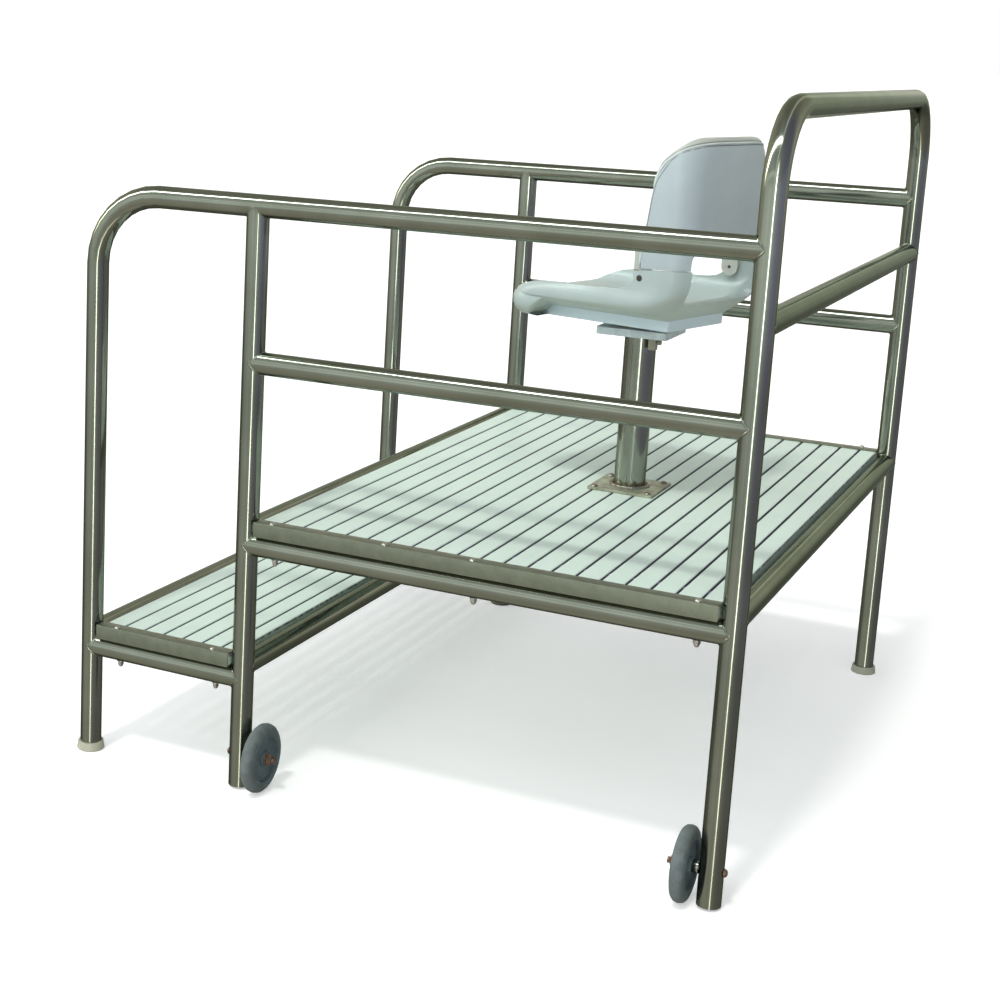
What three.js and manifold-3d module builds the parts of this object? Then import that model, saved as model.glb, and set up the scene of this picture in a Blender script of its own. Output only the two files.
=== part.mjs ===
// A movable poolside lifeguard chair: a welded tube frame with a step and a slatted deck,
// two wheels on its near side, and a swivelling seat whose back folds down.
// Millimetres, +Z up. X runs from the step to the back hoop, Y from the wheel side to the far side.
import * as THREE from "three";
import { mergeVertices } from "three/addons/utils/BufferGeometryUtils.js";
import Module from "manifold-3d";

const wasm = await Module();
wasm.setup();

// Clearances
const seatGap = 0.3; // between pieces that are welded, seated or rested on each other
const runGap = 0.07; // radial clearance of a turning fit
const cutOverrun = 20; // how far a cut runs past the faces it opens

// Frame: tube sizes and the distances between tube axes
const tubeRadius = 24.13;
const tubeWall = 2.1;
const stepDepth = 393;
const deckDepth = 1043;
const frameWidth = 1567;
const sideRailHeight = 1272;
const midRailHeight = 945;
const deckRailHeight = 552;
const stepRailHeight = 250;
const hoopHeight = 1523;
const hoopCrossHeight = 1133;
const bendRadius = 152.4;
const openLegHeight = 5; // the wheel legs end this far above the floor

// Foot caps
const capRadius = 31.5;
const capTopRadius = 29;
const capHeight = 19;
const capFloor = 7;
const capEdge = 2;

// Channels that hold the slats' ends, and the slats
const channelSize = 31.75;
const channelWall = 3.2;
const channelEndGap = 2;
const slatWidth = 44.4;
const slatGap = 5.6;
const slatEdge = 1.6;
const slatSideGap = 0.4;
const tongueDrop = 1.2; // the slats' ends step down by this under the channels' lips
const slatsPerPanel = 5;
const deckFrontGap = 3; // from the deck's front tube to its first slat
const stepFrontGap = 8;
const slatRearGap = 3;
const narrowestSlat = 12;
const spacerInset = 96; // from the slat's end to its spacer
const spacerLength = 12;
const spacerHeight = 14;
const spacerDrop = 3; // below the slats' tops

// Wheels and axles
const wheelRadius = 76.2;
const tyreWidth = 27;
const tyreWall = 20;
const tyreCrown = 12;
const hubWidth = 29;
const hubWeb = 14;
const hubBossRadius = 17;
const hubRim = 6;
const axleRadius = 6.35;
const axleHeadRadius = 9;
const axleHeadHeight = 7;
const axleEnd = 7; // thread that stands out past the nut
const nutWidth = 19;
const nutHeight = 10;
const washerRadius = 14;
const washerThickness = 2.5;
const spacerRadius = 13;
const wheelOffset = 13; // from the leg to the hub

// Pedestal
const poleRadius = 36.5;
const poleWall = 5;
const poleSetback = 452; // from the back hoop to the pole's axis
const poleWeld = 5;
const basePlateSize = 156;
const basePlateThickness = 6.35;
const basePlateCorner = 4;
const baseBoltInset = 14;
const baseBoltRadius = 4.75;
const baseBoltHeadRadius = 8.5;
const baseBoltHeadHeight = 5;
const baseBoltNut = 16;
const baseBoltNutHeight = 8;

// Swivel
const trayHeight = 974; // the lower edge of the swivel's tray
const traySize = 166;
const trayDepth = 17;
const trayWall = 3;
const trayCorner = 8;
const spindleRadius = 12;
const spindleTop = 10; // above the turning plate
const bearingRadius = 58;
const bearingThickness = 8;
const turnPlateSize = 150;
const turnPlateThickness = 5;
const spindleRecess = 22;
const lockBlock = { length: 18, width: 20, drop: 30 };
const lockPlace = { x: 40, y: -36 }; // from the pole's axis
const lockScrewRadius = 3;
const lockKnobRadius = 6;
const lockKnobLength = 7;
const lockScrewDrop = 12; // below the tray's lower edge

// Seat. Its own frame has x towards its back, and its axis on the pole.
const seatTurn = THREE.MathUtils.degToRad(15); // as it stands in the photograph
const seatFront = 249;
const seatRear = 213;
const seatHalfWidth = 212; // at the lip
const armHalfWidth = 203;
const seatWall = 8.6;
const rearWall = 12;
const skirtHalfWidth = 122;
const skirtFront = 202;
const skirtRear = 140;
const skirtHeight = 24;
const skirtCorner = 8;
const frontCorner = 80;
const rearCorner = 78;
const lipCorner = 62;
const lipRearCorner = 14;
const scoopHalfWidth = 190; // of the front edge's lower middle
const scoopDrop = 36; // below the side rims
const scoopCorner = 36;
const scoopEnd = 100; // before the pole's axis
const rimRise = 89; // from the skirt's lower edge to the side rims
const armRise = 144; // the same, to the top of the arms behind
const dishRise = 46; // the same, to the lowest place of the seat's surface
const windowHalfWidth = 154;
const windowRise = 66;
const windowCorner = 25;

// Seat back
const hingeSetback = 108; // from the pole's axis
const hingeRise = 123;
const backGap = 1.2; // between the arms and the back
const backHeight = 285;
const backWing = 114;
const backRearWall = 20;
const backTopWall = 18;
const backEdge = 3;
const backArch = 45;
const tabThickness = 8;
const tabRadius = 21;
const tabSideGap = 0.6;
const tabRise = 60;
const screwRadius = 4;
const screwHeadRadius = 7;
const screwHeadDepth = 4;

// Facets
const tubeSides = 24;
const boreSides = 12;
const roundSides = 40;
const smallSides = 16;
const bendSteps = 8;
const cornerSteps = 5;
const crownSteps = 3;
const hexSides = 6;
const tabSides = 8;

// Places that follow from the sizes
const slatThickness = channelSize - 2 * (channelWall + seatGap);
const mainX = stepDepth;
const backX = stepDepth + deckDepth;
const capTubeEnd = capFloor + seatGap;
const deckChannelBase = deckRailHeight + tubeRadius + seatGap;
const stepChannelBase = stepRailHeight + tubeRadius + seatGap;
const slatRise = channelWall + seatGap + slatThickness; // from a channel's base to the slats' tops
const deckTop = deckChannelBase + slatRise;
const stepTop = stepChannelBase + slatRise;
const deckTubeHeight = deckTop - tubeRadius;
const stepTubeHeight = stepTop - tubeRadius;
const poleX = backX - poleSetback;
const poleY = frameWidth / 2;
const basePlateTop = deckTop + seatGap + basePlateThickness;
const trayTop = trayHeight + trayDepth;
const bearingTop = trayTop + seatGap + bearingThickness;
const turnPlateTop = bearingTop + seatGap + turnPlateThickness;
const skirtBase = turnPlateTop + seatGap;
const armTop = skirtBase + armRise;
const hingeHeight = skirtBase + hingeRise;
const dishHalfWidth = seatHalfWidth - seatWall;
const armInside = armHalfWidth - seatWall;
const axleHeight = wheelRadius;

// Materials
const steel = new THREE.MeshStandardMaterial({ color: 0x8d8c80, roughness: 0.35, metalness: 0.9 });
const channelSteel = new THREE.MeshStandardMaterial({ color: 0x77776b, roughness: 0.5, metalness: 0.8 });
const slatPlastic = new THREE.MeshStandardMaterial({ color: 0xdde6de, roughness: 0.55, metalness: 0 });
const capPlastic = new THREE.MeshStandardMaterial({ color: 0xd9d3b8, roughness: 0.6, metalness: 0 });
const tyreRubber = new THREE.MeshStandardMaterial({ color: 0x63696a, roughness: 0.8, metalness: 0 });
const hubPlastic = new THREE.MeshStandardMaterial({ color: 0x5a6470, roughness: 0.6, metalness: 0 });
const boltSteel = new THREE.MeshStandardMaterial({ color: 0x8a7460, roughness: 0.5, metalness: 0.8 });
const castAlloy = new THREE.MeshStandardMaterial({ color: 0xb4bcb9, roughness: 0.5, metalness: 0.5 });
const seatPlastic = new THREE.MeshStandardMaterial({ color: 0xb9c2c4, roughness: 0.45, metalness: 0 });
const lockPlastic = new THREE.MeshStandardMaterial({ color: 0x9b9078, roughness: 0.6, metalness: 0 });

const at = (x, y, z) => new THREE.Vector3(x, y, z);

// A closed geometry as a solid that can be cut and joined.
function solidOf(geometry) {
  const bare = geometry.clone();
  bare.deleteAttribute("normal");
  bare.deleteAttribute("uv");
  const merged = mergeVertices(bare, 1e-4);
  return new wasm.Manifold(
    new wasm.Mesh({
      numProp: 3,
      vertProperties: new Float32Array(merged.attributes.position.array),
      triVerts: new Uint32Array(merged.index.array),
    }),
  );
}

function geometryOf(solid) {
  const mesh = solid.getMesh();
  const geometry = new THREE.BufferGeometry();
  geometry.setAttribute("position", new THREE.BufferAttribute(mesh.vertProperties, mesh.numProp));
  geometry.setIndex(new THREE.BufferAttribute(mesh.triVerts, 1));
  const faceted = geometry.toNonIndexed();
  faceted.computeVertexNormals();
  return faceted;
}

function piece(name, solid, material) {
  const mesh = new THREE.Mesh(geometryOf(solid), material);
  mesh.name = name;
  return mesh;
}

const join = (solids) => solids.reduce((whole, next) => whole.add(next));
const cutAll = (solid, cutters) => cutters.reduce((rest, next) => rest.subtract(next), solid);

// A regular polygon round the origin.
function polygon(radius, sides) {
  const turn = (2 * Math.PI) / sides;
  const corner = (_, i) => new THREE.Vector2(radius * Math.cos(i * turn), radius * Math.sin(i * turn));
  return Array.from({ length: sides }, corner);
}

// A rectangle with round corners, centred on the origin.
function roundedRectangle(width, depth, corner) {
  const points = [];
  for (const [sx, sy, start] of [[1, 1, 0], [-1, 1, 1], [-1, -1, 2], [1, -1, 3]]) {
    for (let i = 0; i <= cornerSteps; i++) {
      const angle = ((start + i / cornerSteps) * Math.PI) / 2;
      const x = sx * (width / 2 - corner) + corner * Math.cos(angle);
      points.push(new THREE.Vector2(x, sy * (depth / 2 - corner) + corner * Math.sin(angle)));
    }
  }
  return points;
}

// A straight extrusion of an outline, from one height to another.
function prism(outline, bottom, top) {
  const geometry = new THREE.ExtrudeGeometry(new THREE.Shape(outline), { depth: top - bottom, bevelEnabled: false });
  return solidOf(geometry.translate(0, 0, bottom));
}

// A solid rod between two points.
function rod(from, to, radius, sides = tubeSides) {
  const along = to.clone().sub(from);
  const geometry = new THREE.CylinderGeometry(radius, radius, along.length(), sides);
  const turn = new THREE.Quaternion().setFromUnitVectors(at(0, 1, 0), along.clone().normalize());
  const middle = from.clone().add(to).divideScalar(2);
  return solidOf(geometry.applyMatrix4(new THREE.Matrix4().compose(middle, turn, at(1, 1, 1))));
}

// A body of revolution round the Z axis, from points (radius, height) listed upwards.
function turned(profile, sides = roundSides) {
  const points = profile.map(([radius, height]) => new THREE.Vector2(radius, height));
  return solidOf(new THREE.LatheGeometry(points, sides).rotateX(Math.PI / 2));
}

// A closed skin through rings of equal point counts, from the lowest ring to the highest.
function loft(rings) {
  const count = rings[0].length;
  const points = rings.flat();
  const faces = [];
  for (let r = 0; r + 1 < rings.length; r++) {
    for (let i = 0; i < count; i++) {
      const a = r * count + i;
      const b = r * count + ((i + 1) % count);
      faces.push(a, b, b + count, a, b + count, a + count);
    }
  }
  for (const [start, flip] of [[0, true], [points.length - count, false]]) {
    for (let i = 1; i + 1 < count; i++) {
      faces.push(start, start + (flip ? i + 1 : i), start + (flip ? i : i + 1));
    }
  }
  const geometry = new THREE.BufferGeometry().setFromPoints(points);
  geometry.setIndex(faces);
  return solidOf(geometry);
}

// One level ring of a moulding: x from front to rear, with separate corner radii before and behind.
// Where the ring is too narrow for a round corner, the corner is flattened along x.
function levelRing({ front, rear, half, frontRound, rearRound, height }) {
  const points = [];
  const rearDepth = Math.min(rearRound, rear - front - frontRound);
  const corners = [
    [rear - rearDepth, half - rearRound, rearDepth, rearRound, 0],
    [front + frontRound, half - frontRound, frontRound, frontRound, 1],
    [front + frontRound, frontRound - half, frontRound, frontRound, 2],
    [rear - rearDepth, rearRound - half, rearDepth, rearRound, 3],
  ];
  for (const [x, y, reachX, reachY, start] of corners) {
    for (let i = 0; i <= cornerSteps; i++) {
      const angle = ((start + i / cornerSteps) * Math.PI) / 2;
      points.push(at(x + reachX * Math.cos(angle), y + reachY * Math.sin(angle), height));
    }
  }
  return points;
}

// A route of straight runs joined by round bends, as stations with their directions.
class TubeRoute extends THREE.Curve {
  constructor(corners, radius) {
    super();
    const heading = (i) => corners[i + 1].clone().sub(corners[i]).normalize();
    this.stations = [{ point: corners[0], tangent: heading(0) }];
    for (let i = 1; i + 1 < corners.length; i++) {
      this.addBend(corners[i], heading(i - 1), heading(i), radius);
    }
    this.stations.push({ point: corners.at(-1), tangent: heading(corners.length - 2) });
  }

  addBend(corner, into, out, radius) {
    const turn = into.angleTo(out);
    const start = corner.clone().addScaledVector(into, -radius * Math.tan(turn / 2));
    const inward = out.clone().addScaledVector(into, -into.dot(out)).normalize();
    for (let step = 0; step <= bendSteps; step++) {
      const angle = (turn * step) / bendSteps;
      const point = start.clone().addScaledVector(into, radius * Math.sin(angle));
      point.addScaledVector(inward, radius * (1 - Math.cos(angle)));
      const tangent = into.clone().multiplyScalar(Math.cos(angle)).addScaledVector(inward, Math.sin(angle));
      this.stations.push({ point, tangent });
    }
  }

  get steps() {
    return this.stations.length - 1;
  }

  getPointAt(share, target = new THREE.Vector3()) {
    return target.copy(this.stations[Math.round(share * this.steps)].point);
  }

  getTangentAt(share, target = new THREE.Vector3()) {
    return target.copy(this.stations[Math.round(share * this.steps)].tangent);
  }
}

// A hollow round tube through the corners, bent at each of them.
function bentTube(corners) {
  const route = new TubeRoute(corners, bendRadius);
  const section = new THREE.Shape(polygon(tubeRadius, tubeSides));
  section.holes.push(new THREE.Path(polygon(tubeRadius - tubeWall, boreSides)));
  const options = { steps: route.steps, bevelEnabled: false, extrudePath: route };
  return solidOf(new THREE.ExtrudeGeometry(section, options));
}

// A straight tube, coped to the tubes that it meets.
function copedTube(from, to, neighbours) {
  const overrun = to.clone().sub(from).normalize().multiplyScalar(cutOverrun);
  const bore = rod(from.clone().sub(overrun), to.clone().add(overrun), tubeRadius - tubeWall, boreSides);
  return cutAll(rod(from, to, tubeRadius).subtract(bore), neighbours);
}

// The space that a tube takes from the pieces that meet it.
const tubeSpace = (from, to) => rod(from, to, tubeRadius + seatGap);
const legSpace = (x, y) => tubeSpace(at(x, y, -cutOverrun), at(x, y, hoopHeight));
const railSpace = (fromX, toX, y, height) => tubeSpace(at(fromX, y, height), at(toX, y, height));

// The hole through a leg for its wheel's axle.
function axleHole(x, y) {
  const reach = tubeRadius + cutOverrun;
  return rod(at(x - reach, y, axleHeight), at(x + reach, y, axleHeight), axleRadius + seatGap);
}

// Frame
function sideRail(side, y) {
  const corners = [at(0, y, capTubeEnd), at(0, y, sideRailHeight), at(backX, y, sideRailHeight)];
  return piece(`${side}_side_rail`, bentTube(corners).subtract(legSpace(backX, y)), steel);
}

function backHoop() {
  const nearLeg = at(backX, 0, openLegHeight);
  const farLeg = at(backX, frameWidth, capTubeEnd);
  const corners = [nearLeg, at(backX, 0, hoopHeight), at(backX, frameWidth, hoopHeight), farLeg];
  return piece("back_hoop", bentTube(corners).subtract(axleHole(backX, 0)), steel);
}

function mainPost(side, y, foot, holes) {
  const topRail = railSpace(0, backX, y, sideRailHeight);
  const post = copedTube(at(mainX, y, foot), at(mainX, y, sideRailHeight), [topRail, ...holes]);
  return piece(`${side}_main_post`, post, steel);
}

function lengthwiseRail(name, fromX, toX, y, height) {
  const ends = [legSpace(fromX, y), legSpace(toX, y)];
  return piece(name, copedTube(at(fromX, y, height), at(toX, y, height), ends), steel);
}

function crossTube(name, x, height, rails = []) {
  const neighbours = [legSpace(x, 0), legSpace(x, frameWidth), ...rails];
  return piece(name, copedTube(at(x, 0, height), at(x, frameWidth, height), neighbours), steel);
}

function frameTubes() {
  const group = new THREE.Group();
  const deckRails = [0, frameWidth].map((y) => railSpace(mainX, backX, y, deckRailHeight));
  const stepRails = [0, frameWidth].map((y) => railSpace(0, mainX, y, stepRailHeight));
  for (const [side, y] of [["near", 0], ["far", frameWidth]]) {
    group.add(
      sideRail(side, y),
      lengthwiseRail(`${side}_mid_rail`, mainX, backX, y, midRailHeight),
      lengthwiseRail(`${side}_deck_rail`, mainX, backX, y, deckRailHeight),
      lengthwiseRail(`${side}_step_rail`, 0, mainX, y, stepRailHeight),
    );
  }
  group.add(
    mainPost("near", 0, openLegHeight, [axleHole(mainX, 0)]),
    mainPost("far", frameWidth, capTubeEnd, []),
    backHoop(),
    crossTube("hoop_cross_rail", backX, hoopCrossHeight),
    crossTube("deck_front_tube", mainX, deckTubeHeight, deckRails),
    crossTube("deck_back_tube", backX, deckTubeHeight, deckRails),
    crossTube("step_front_tube", 0, stepTubeHeight, stepRails),
    crossTube("step_rear_tube", mainX, stepTubeHeight, stepRails),
  );
  return group;
}

// A cup that the leg's end stands in.
function footCap(name, x, y) {
  const inside = tubeRadius + seatGap;
  const profile = [
    [0, 0],
    [capRadius - capEdge, 0],
    [capRadius, capEdge],
    [capTopRadius, capHeight],
    [inside, capHeight],
    [inside, capFloor],
    [0, capFloor],
  ];
  const cap = piece(name, turned(profile, tubeSides), capPlastic);
  cap.position.set(x, y, 0);
  return cap;
}

function footCaps() {
  const group = new THREE.Group();
  group.add(
    footCap("near_front_foot_cap", 0, 0),
    footCap("far_front_foot_cap", 0, frameWidth),
    footCap("far_main_foot_cap", mainX, frameWidth),
    footCap("far_back_foot_cap", backX, frameWidth),
  );
  return group;
}

// A channel along X that lies on a rail, open towards the deck.
function channel(name, fromX, toX, base, side) {
  const inner = channelSize - channelWall;
  const outline = [
    [0, 0],
    [channelSize, 0],
    [channelSize, channelWall],
    [channelWall, channelWall],
    [channelWall, inner],
    [channelSize, inner],
    [channelSize, channelSize],
    [0, channelSize],
  ].map(([across, up]) => new THREE.Vector2(across, up));
  const start = fromX + tubeRadius + channelEndGap;
  const bar = prism(outline, start, toX - tubeRadius - channelEndGap);
  const mesh = piece(name, bar, channelSteel);
  mesh.geometry.applyMatrix4(new THREE.Matrix4().makeBasis(at(0, 1, 0), at(0, 0, 1), at(1, 0, 0)));
  if (side === "near") {
    mesh.position.set(0, -tubeRadius, base);
    return mesh;
  }
  mesh.geometry.applyMatrix4(new THREE.Matrix4().makeRotationZ(Math.PI));
  mesh.position.set(fromX + toX, frameWidth + tubeRadius, base);
  return mesh;
}

// Places of the base plate's bolts, from the pole's axis.
const baseBoltReach = basePlateSize / 2 - baseBoltInset;
const baseBoltPlaces = [
  ["front_near", -1, -1],
  ["front_far", -1, 1],
  ["rear_near", 1, -1],
  ["rear_far", 1, 1],
].map(([name, sx, sy]) => ({ name, x: poleX + sx * baseBoltReach, y: poleY + sy * baseBoltReach }));

function baseBoltHoles() {
  return baseBoltPlaces.map(({ x, y }) => {
    const bottom = deckTop - slatThickness - cutOverrun;
    return rod(at(x, y, bottom), at(x, y, basePlateTop + cutOverrun), baseBoltRadius + seatGap);
  });
}

// A channel under the slats, open below, between the deck's front and back tubes.
function deckSupport(name, y) {
  const top = deckTop - slatThickness - seatGap;
  const half = channelSize / 2;
  const side = half - channelWall;
  const roof = top - channelWall;
  const outline = [
    [-half, top - channelSize],
    [-side, top - channelSize],
    [-side, roof],
    [side, roof],
    [side, top - channelSize],
    [half, top - channelSize],
    [half, top],
    [-half, top],
  ].map(([across, up]) => new THREE.Vector2(across, up));
  const along = new THREE.Matrix4().makeBasis(at(0, 1, 0), at(0, 0, 1), at(1, 0, 0));
  const bar = prism(outline, mainX, backX).transform(along.elements).translate([0, y, 0]);
  const ends = [mainX, backX].map((x) => tubeSpace(at(x, 0, deckTubeHeight), at(x, frameWidth, deckTubeHeight)));
  return piece(name, cutAll(bar, [...ends, ...baseBoltHoles()]), channelSteel);
}

function channels() {
  const group = new THREE.Group();
  group.add(deckSupport("near_deck_support", poleY - baseBoltReach));
  group.add(deckSupport("far_deck_support", poleY + baseBoltReach));
  for (const side of ["near", "far"]) {
    group.add(channel(`${side}_deck_channel`, mainX, backX, deckChannelBase, side));
    group.add(channel(`${side}_step_channel`, 0, mainX, stepChannelBase, side));
  }
  return group;
}

// The slats' ends stand inside the channels.
const slatEndY = -tubeRadius + channelWall + seatGap + slatSideGap;
const slatLength = frameWidth - 2 * slatEndY;
const lipEdgeY = -tubeRadius + channelSize;

// Start and width of each slat between two tubes: the last one is ripped to what is left.
function slatPlaces(fromX, toX, frontGap) {
  const last = toX - tubeRadius - slatRearGap;
  const places = [];
  for (let x = fromX + tubeRadius + frontGap; x + narrowestSlat < last; x += slatWidth + slatGap) {
    places.push({ start: x, width: Math.min(slatWidth, last - x) });
  }
  return places;
}

function slat({ start, width }, top) {
  const outline = [
    [0, 0],
    [width, 0],
    [width, slatThickness - slatEdge],
    [width - slatEdge, slatThickness],
    [slatEdge, slatThickness],
    [0, slatThickness - slatEdge],
  ].map(([x, z]) => new THREE.Vector2(x, z));
  const plank = new THREE.ExtrudeGeometry(new THREE.Shape(outline), { depth: slatLength, bevelEnabled: false });
  plank.applyMatrix4(new THREE.Matrix4().makeBasis(at(1, 0, 0), at(0, 0, 1), at(0, -1, 0)));
  return solidOf(plank.translate(start, slatEndY + slatLength, top - slatThickness));
}

// The two spacers behind a slat, each reaching the next slat.
function slatSpacers({ start, width }, top, reach) {
  const from = start + width - slatEdge;
  const height = top - spacerDrop - spacerHeight / 2;
  return [slatEndY + spacerInset, slatEndY + slatLength - spacerInset].map((y) => {
    const block = new THREE.BoxGeometry(reach + slatEdge, spacerLength, spacerHeight);
    return solidOf(block.translate(from + (reach + slatEdge) / 2, y, height));
  });
}

// What is cut off the tops of a run of slats under the two lips.
function tongueCuts(places, top) {
  const last = places[places.length - 1];
  const from = places[0].start - cutOverrun;
  const to = last.start + last.width + cutOverrun;
  const length = channelSize + cutOverrun;
  const middle = lipEdgeY + seatGap - length / 2;
  return [middle, frameWidth - middle].map((y) => {
    const block = new THREE.BoxGeometry(to - from, length, tongueDrop + cutOverrun);
    return solidOf(block.translate((from + to) / 2, y, top + (cutOverrun - tongueDrop) / 2));
  });
}

// A run of slats, joined by the spacers that part them.
function slatPanel(name, places, top, follows, cutters = []) {
  const solids = places.map((place) => slat(place, top));
  places.forEach((place, i) => {
    const inside = i + 1 < places.length;
    if (inside || follows) solids.push(...slatSpacers(place, top, inside ? slatGap + slatEdge : slatGap - seatGap));
  });
  return piece(name, cutAll(join(solids), [...cutters, ...tongueCuts(places, top)]), slatPlastic);
}

function slats() {
  const group = new THREE.Group();
  const deck = slatPlaces(mainX, backX, deckFrontGap);
  const panelCount = Math.ceil(deck.length / slatsPerPanel);
  for (let i = 0; i < panelCount; i++) {
    const places = deck.slice(i * slatsPerPanel, (i + 1) * slatsPerPanel);
    const name = `deck_slat_panel_${i + 1}`;
    group.add(slatPanel(name, places, deckTop, i + 1 < panelCount, baseBoltHoles()));
  }
  group.add(slatPanel("step_slat_panel", slatPlaces(0, mainX, stepFrontGap), stepTop, false));
  return group;
}

// One wheel on its axle. It is built with its axle along +X from the leg's centre.
const hubStart = tubeRadius + wheelOffset;
const hubRadius = wheelRadius - tyreWall;
const alongX = new THREE.Matrix4().makeRotationY(Math.PI / 2);

function turnedAlongX(profile, sides) {
  return turned(profile, sides).transform(alongX.elements);
}

function tyre() {
  const start = hubStart + (hubWidth - tyreWidth) / 2;
  const inner = hubRadius + seatGap;
  const shoulder = wheelRadius - tyreCrown;
  const profile = [[inner, start]];
  for (let i = 0; i <= crownSteps; i++) {
    const angle = ((i / crownSteps) * Math.PI) / 2;
    profile.push([shoulder + tyreCrown * Math.sin(angle), start + tyreCrown * (1 - Math.cos(angle))]);
  }
  for (let i = crownSteps; i >= 0; i--) {
    const angle = ((i / crownSteps) * Math.PI) / 2;
    profile.push([shoulder + tyreCrown * Math.sin(angle), start + tyreWidth - tyreCrown * (1 - Math.cos(angle))]);
  }
  profile.push([inner, start + tyreWidth], [inner, start]);
  return turnedAlongX(profile);
}

function hub() {
  const bore = axleRadius + runGap;
  const end = hubStart + hubWidth;
  const webStart = hubStart + (hubWidth - hubWeb) / 2;
  const rim = hubRadius - hubRim;
  const profile = [
    [bore, hubStart],
    [hubBossRadius, hubStart],
    [hubBossRadius, webStart],
    [rim, webStart],
    [rim, hubStart],
    [hubRadius, hubStart],
    [hubRadius, end],
    [rim, end],
    [rim, webStart + hubWeb],
    [hubBossRadius, webStart + hubWeb],
    [hubBossRadius, end],
    [bore, end],
    [bore, hubStart],
  ];
  return turnedAlongX(profile);
}

const disc = (radius, start, length) => [
  [0, start],
  [radius, start],
  [radius, start + length],
  [0, start + length],
];

const ring = (inner, outer, start, length) => [
  [inner, start],
  [outer, start],
  [outer, start + length],
  [inner, start + length],
  [inner, start],
];

const washerStart = hubStart + hubWidth + seatGap;
const nutStart = washerStart + washerThickness + seatGap;

// A domed head outside the leg, and a shank that runs past the nut.
function axle() {
  const headStart = -tubeRadius - seatGap;
  const profile = [[0, headStart - axleHeadHeight]];
  for (let i = 1; i <= crownSteps; i++) {
    const angle = ((i / crownSteps) * Math.PI) / 2;
    profile.push([axleHeadRadius * Math.sin(angle), headStart - axleHeadHeight * Math.cos(angle)]);
  }
  const end = nutStart + nutHeight + axleEnd;
  profile.push([axleRadius, headStart], [axleRadius, end], [0, end]);
  return turnedAlongX(profile, smallSides);
}

function nut() {
  const radius = nutWidth / 2 / Math.cos(Math.PI / hexSides);
  const body = prism(polygon(radius, hexSides), nutStart, nutStart + nutHeight);
  const hole = turned(disc(axleRadius + seatGap, nutStart - cutOverrun, nutHeight + 2 * cutOverrun), smallSides);
  return body.subtract(hole).transform(alongX.elements);
}

function wheel(place, x, facing) {
  const group = new THREE.Group();
  const loose = axleRadius + seatGap;
  const spacer = ring(loose, spacerRadius, tubeRadius + seatGap, wheelOffset - 2 * seatGap);
  const washer = ring(loose, washerRadius, washerStart, washerThickness);
  group.add(
    piece(`${place}_wheel_tyre`, tyre(), tyreRubber),
    piece(`${place}_wheel_hub`, hub(), hubPlastic),
    piece(`${place}_axle_bolt`, axle(), boltSteel),
    piece(`${place}_axle_spacer`, turnedAlongX(spacer, smallSides), steel),
    piece(`${place}_axle_washer`, turnedAlongX(washer, smallSides), boltSteel),
    piece(`${place}_axle_nut`, nut(), boltSteel),
  );
  group.rotation.z = facing;
  group.position.set(x, 0, axleHeight);
  return group;
}

// Pedestal
function pole() {
  const bottom = basePlateTop + seatGap;
  const top = trayTop - trayWall - seatGap;
  const bore = poleRadius - poleWall;
  const profile = [
    [bore, bottom],
    [poleRadius + poleWeld, bottom],
    [poleRadius, bottom + poleWeld],
    [poleRadius, top],
    [bore, top],
    [bore, bottom],
  ];
  const mesh = piece("pedestal_pole", turned(profile), steel);
  mesh.position.set(poleX, poleY, 0);
  return mesh;
}

function basePlate() {
  const outline = roundedRectangle(basePlateSize, basePlateSize, basePlateCorner);
  const plate = prism(outline, deckTop + seatGap, basePlateTop).translate([poleX, poleY, 0]);
  return piece("pedestal_base_plate", cutAll(plate, baseBoltHoles()), steel);
}

// A round-headed bolt through the base plate, a slat and a support, with its nut as part of it.
function baseBolt({ name, x, y }) {
  const headStart = basePlateTop + seatGap;
  const nutTop = deckTop - slatThickness - channelWall - 2 * seatGap;
  const nutEnd = nutTop - baseBoltNutHeight;
  const nutRadius = baseBoltNut / 2;
  const profile = [[0, nutEnd], [nutRadius, nutEnd], [nutRadius, nutTop], [baseBoltRadius, nutTop]];
  profile.push([baseBoltRadius, headStart]);
  for (let i = crownSteps; i >= 1; i--) {
    const angle = ((i / crownSteps) * Math.PI) / 2;
    profile.push([baseBoltHeadRadius * Math.sin(angle), headStart + baseBoltHeadHeight * Math.cos(angle)]);
  }
  profile.push([0, headStart + baseBoltHeadHeight]);
  const bolt = piece(`pedestal_bolt_${name}`, turned(profile, smallSides), boltSteel);
  bolt.position.set(x, y, 0);
  return bolt;
}

// The fixed tray of the swivel, open below, with the spindle that the seat turns on.
function swivelTray() {
  const shell = prism(roundedRectangle(traySize, traySize, trayCorner), trayHeight, trayTop);
  const inner = traySize - 2 * trayWall;
  const hollow = prism(roundedRectangle(inner, inner, trayCorner - trayWall), trayHeight - cutOverrun, trayTop - trayWall);
  const spindleBase = trayTop - trayWall;
  const spindle = turned(disc(spindleRadius, spindleBase, turnPlateTop + spindleTop - spindleBase));
  return piece("swivel_tray", shell.subtract(hollow).add(spindle), castAlloy);
}

function bearingRing() {
  const profile = ring(spindleRadius + seatGap, bearingRadius, trayTop + seatGap, bearingThickness);
  return piece("swivel_bearing_ring", turned(profile), lockPlastic);
}

function turnPlate() {
  const plate = prism(roundedRectangle(turnPlateSize, turnPlateSize, trayCorner), bearingTop + seatGap, turnPlateTop);
  const hole = turned(disc(spindleRadius + runGap, bearingTop - cutOverrun, turnPlateThickness + 2 * cutOverrun));
  return piece("swivel_turn_plate", plate.subtract(hole), castAlloy);
}

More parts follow.
